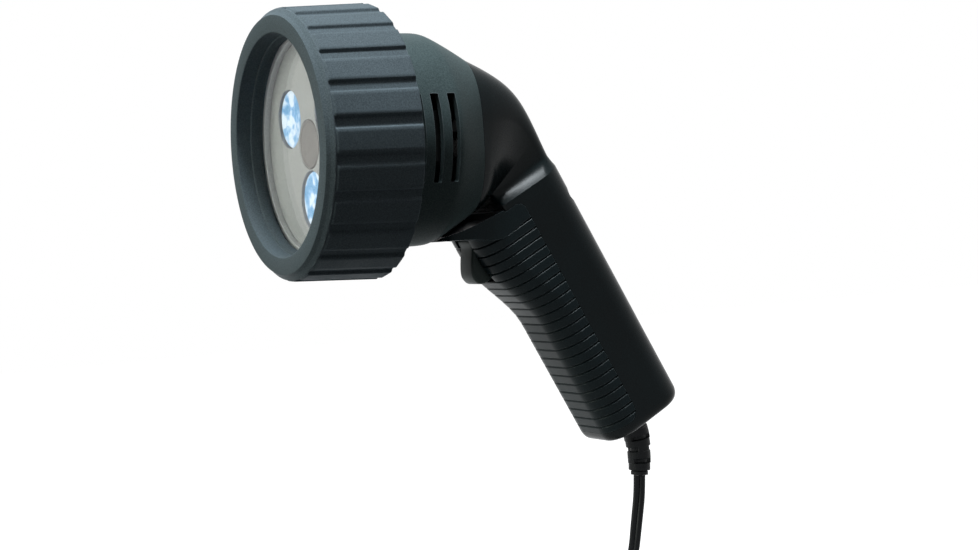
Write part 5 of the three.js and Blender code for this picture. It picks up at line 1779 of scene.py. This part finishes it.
@dataclass
class StrainRelief:
    """The boot where the cord leaves: rings on a soft sleeve, joined by bridges that alternate."""

    cord: SupplyCord
    shape: HandleShape
    start_depth: float = 159.2
    flange: float = 7.0
    flange_length: float = 2.0
    top: float = 5.6
    end: float = 4.4
    ribs: int = 5
    rib_depth: float = 1.5
    ring_end: float = 0.6
    ring_start: float = 0.96
    bridge_half: float = 32.0
    bridge_ease: float = 6.0
    bridge_level: float = 0.96
    tip_start: float = 0.66
    tip_level: float = 0.4
    bend_steps: int = 60
    segments: int = 72
    rows: int = 150

    def path(self) -> np.ndarray:
        """Returns the boot's centre line, in the head's frame, in millimetres."""
        s = self.shape
        start = grip_to_head([0, s.relief_place, self.start_depth])
        mouth = grip_to_head([0, s.relief_place, s.butt])
        down = (mouth - start) / np.linalg.norm(mouth - start)
        route = np.array(self.cord.route) / MM
        way = (route[1] - route[0]) / np.linalg.norm(route[1] - route[0])
        end = route[0] - FITTING_GAP * way
        third = np.linalg.norm(end - mouth) / 3
        knots = [mouth, mouth + down * third, end - way * third, end]
        bent = []
        for k in range(self.bend_steps + 1):
            t = k / self.bend_steps
            weights = [(1 - t) ** 3, 3 * t * (1 - t) ** 2, 3 * t**2 * (1 - t), t**3]
            bent.append(sum(w * p for w, p in zip(weights, knots)))
        return np.vstack([start, np.array(bent)])

    def radius(self, place: float, angle: float, mouth: float, total: float) -> float:
        """Returns the boot's radius at a place along it and an angle round it, in millimetres."""
        if place < mouth:
            return self.flange if place < self.flange_length else self.top
        run = (total - mouth) / self.ribs
        number = min(int((place - mouth) / run), self.ribs - 1)
        last = number + 1 == self.ribs
        within = (place - mouth) / run - number
        outer = mix(self.top, self.end, number / (self.ribs - 1))
        core = outer - self.rib_depth
        on_ring = 1 - eased((within - self.ring_end) / 0.06) + eased((within - self.ring_start) / 0.04)
        if last and within > self.tip_start:
            on_ring = self.tip_level
        turned = math.degrees(angle) + 90 * number
        off = abs((turned + 90) % 180 - 90)
        bridged = 0 if last else 1 - eased((off - self.bridge_half) / self.bridge_ease)
        return mix(core, outer, max(on_ring, bridged * self.bridge_level))

    def build(self) -> Solid:
        """Builds the boot."""
        path = self.path()
        lengths = np.concatenate([[0], np.cumsum(np.linalg.norm(np.diff(path, axis=0), axis=1))])
        total = lengths[-1]
        mouth = lengths[1]
        places = np.linspace(0, total, self.rows)
        line = np.stack([np.interp(places, lengths, path[:, k]) for k in range(3)], axis=-1)
        angles = TURN * np.arange(self.segments) / self.segments

        def section(i: int) -> np.ndarray:
            """Returns the boot's section at a point's number."""
            radii = np.array([self.radius(places[i], a, mouth, total) for a in angles])
            return np.stack([radii * np.cos(angles), radii * np.sin(angles)], axis=-1) * MM

        boot = swept("strain_relief_boot", head_to_row(line), section)
        return install(boot, Body.LAMP, ["strain_relief"], BOOT_PVC, 45)


@dataclass
class CoilTie:
    """The strap round the coil."""

    width: float = 9.0
    thickness: float = 1.2
    corner: float = 2.2
    edge_round: float = 0.35
    place_angle: float = 62.0

    def build(self, cord: SupplyCord) -> Solid:
        """Builds the strap in the place of its CAD node.

        Args:
            cord: The cord that it holds.

        Returns:
            The strap.
        """
        _, centre = cord.coil()
        angle = math.radians(self.place_angle)
        out = np.array([0, math.cos(angle), math.sin(angle)])
        around = np.array([0, -math.sin(angle), math.cos(angle)])
        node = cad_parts["coil_tie"]
        points = (np.array([v.co for v in node.data.vertices]) - HEAD_ORIGIN) / MM - centre
        reach, side = points @ out, points[:, 0]
        half = self.thickness / 2
        low_out, high_out = reach.min() + half, reach.max() - half
        low_x, high_x = side.min() + half, side.max() - half
        outline = rectangle(low_x, high_x, low_out, high_out, self.corner, 8)
        section = rectangle(-self.width / 2, self.width / 2, -half, half, self.edge_round, 3)
        rings = []
        for i, (x, r) in enumerate(outline):
            before, after = Vector(outline[i - 1]), Vector(outline[(i + 1) % len(outline)])
            way = (after - before).normalized()
            normal = np.array([way.y, 0, 0]) + out * -way.x
            middle = centre + np.array([x, 0, 0]) + out * r
            rings.append([middle + around * u + normal * v for u, v in section])
        strap = skin("coil_tie_strap", head_to_row(np.array(rings)), Ends.JOINED)
        return install(strap, Body.LAMP, ["coil_tie"], TIE_NYLON, 40)


@dataclass
class Connector:
    """The low-voltage connector at the cord's end."""

    radius: float = 5.0
    length: float = 19.0
    neck: float = 9.0
    neck_radius: float = 3.4
    neck_grooves: int = 3
    neck_pitch: float = 2.2
    grip_grooves: int = 6
    barrel_radius: float = 2.75
    barrel_length: float = 9.5
    bore: float = 1.05

    def groove(self, radius: float, depth: float, start: float, offsets: Sequence[float]) -> Outline:
        """Draws one groove of a turned profile.

        Args:
            radius: The radius beside the groove.
            depth: How deep it is.
            start: Where it starts.
            offsets: How far on its floor starts, its floor ends and it ends.

        Returns:
            The groove's (radius, along) points.
        """
        down, up, end = offsets
        sunk = radius - depth
        return [(radius, start), (sunk, start + down), (sunk, start + up), (radius, start + end)]

    def build(self, cord: SupplyCord) -> list[Solid]:
        """Builds the moulded body and the barrel.

        Args:
            cord: The cord that they end.

        Returns:
            The two pieces.
        """
        line, _ = cord.coil()
        end = line[-1]
        way = (line[-1] - line[-2]) / np.linalg.norm(line[-1] - line[-2])

        def place(points: Any) -> np.ndarray:
            """Places points of the connector's own frame in the row's."""
            points = np.asarray(points, float)
            up = np.cross(np.array([1.0, 0, 0]), way)
            return head_to_row(end + points[..., :1] * np.array([1.0, 0, 0]) + points[..., 1:2] * way
                               + points[..., 2:] * up)

        body = [(0, FITTING_GAP), (self.neck_radius - 0.3, FITTING_GAP),
                (self.neck_radius, FITTING_GAP + 0.3)]
        for i in range(self.neck_grooves):
            start = FITTING_GAP + 1.4 + self.neck_pitch * i
            body += self.groove(self.neck_radius, 0.6, start, (0.3, 0.9, 1.2))
        body += [(self.neck_radius + 0.2, self.neck - 0.8), (self.radius - 0.7, self.neck + 0.3),
                 (self.radius, self.neck + 1.2)]
        pitch = (self.length - self.neck - 4) / self.grip_grooves
        for i in range(self.grip_grooves):
            body += self.groove(self.radius, 0.35, self.neck + 1.8 + pitch * i, (0.2, 0.6, 0.8))
        body += [(self.radius, self.length - 0.6), (self.radius - 0.6, self.length), (0, self.length)]
        grip = revolved("connector_grip", body, 64, place)
        install(grip, Body.LAMP, ["connector_body"], BOOT_PVC, 40)
        first = self.length + FITTING_GAP
        last = first + self.barrel_length
        outer, bore = self.barrel_radius, self.bore
        barrel = revolved("connector_sleeve", [
            (0, first), (outer, first), *self.groove(outer, 0.15, last - 1.6, (0.1, 0.3, 0.4)),
            (outer, last - 0.3), (outer - 0.3, last), (bore + 0.3, last), (bore, last - 0.3),
            (bore, last - self.barrel_length / 2), (0, last - self.barrel_length / 2),
        ], 48, place)
        install(barrel, Body.LAMP, ["connector_barrel"], BARREL_NICKEL, 40)
        return [grip, barrel]


@dataclass
class InnerParts:
    """The CAD nodes that keep their shape, with the finish of the real pieces."""

    finishes: dict[str, Finish] = field(default_factory=lambda: {
        "led_board": BOARD_LAMINATE, "heat_sink": CAST_ALUMINIUM, "fan_frame": HANDLE_NYLON,
        "fan_rotor": HANDLE_NYLON, "trigger_pin": SCREW_STEEL, "trigger_switch": HANDLE_NYLON,
        "driver_board": BOARD_LAMINATE, "driver_coil": COIL_COPPER, "driver_capacitor": CAST_ALUMINIUM,
        "led_lead": LEAD_PVC, "cord_tail": CORD_PVC, "white_led": LED_PHOSPHOR, "uv_led": LED_PHOSPHOR,
        "bowl_screw": SCREW_STEEL, "grip_screw": SCREW_STEEL,
    })

    def build(self) -> None:
        """Dresses the nodes."""
        for name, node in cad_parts.items():
            finish = self.finishes.get(name) or self.finishes.get(name.rstrip("0123456789").rstrip("_"))
            if finish is None or node.hide_render:
                continue
            smooth(node, 30)
            node.data.materials.clear()
            node.data.materials.append(finish.material())
            log.info("%s keeps its shape, in %s", name, finish.name)


def main() -> None:
    """Builds the lamp and its studio, piece by piece."""
    logging.basicConfig(level=logging.INFO, format="%(name)s: %(message)s")
    scene = bpy.context.scene
    scene.view_settings.view_transform = "Standard"
    Studio().build()
    cord = SupplyCord()
    shape = HandleShape()
    bowl = Bowl()
    relief = StrainRelief(cord, shape).build()
    on_cord = [relief, CoilTie().build(cord), *Connector().build(cord)]
    cord.build(on_cord)
    Bezel().build()
    FrontStack().build()
    bowl.build()
    Handle(shape, bowl).build()
    GripInsert(shape, bowl).build()
    Trigger().build()
    InnerParts().build()


if __name__ == "__main__":
    main()
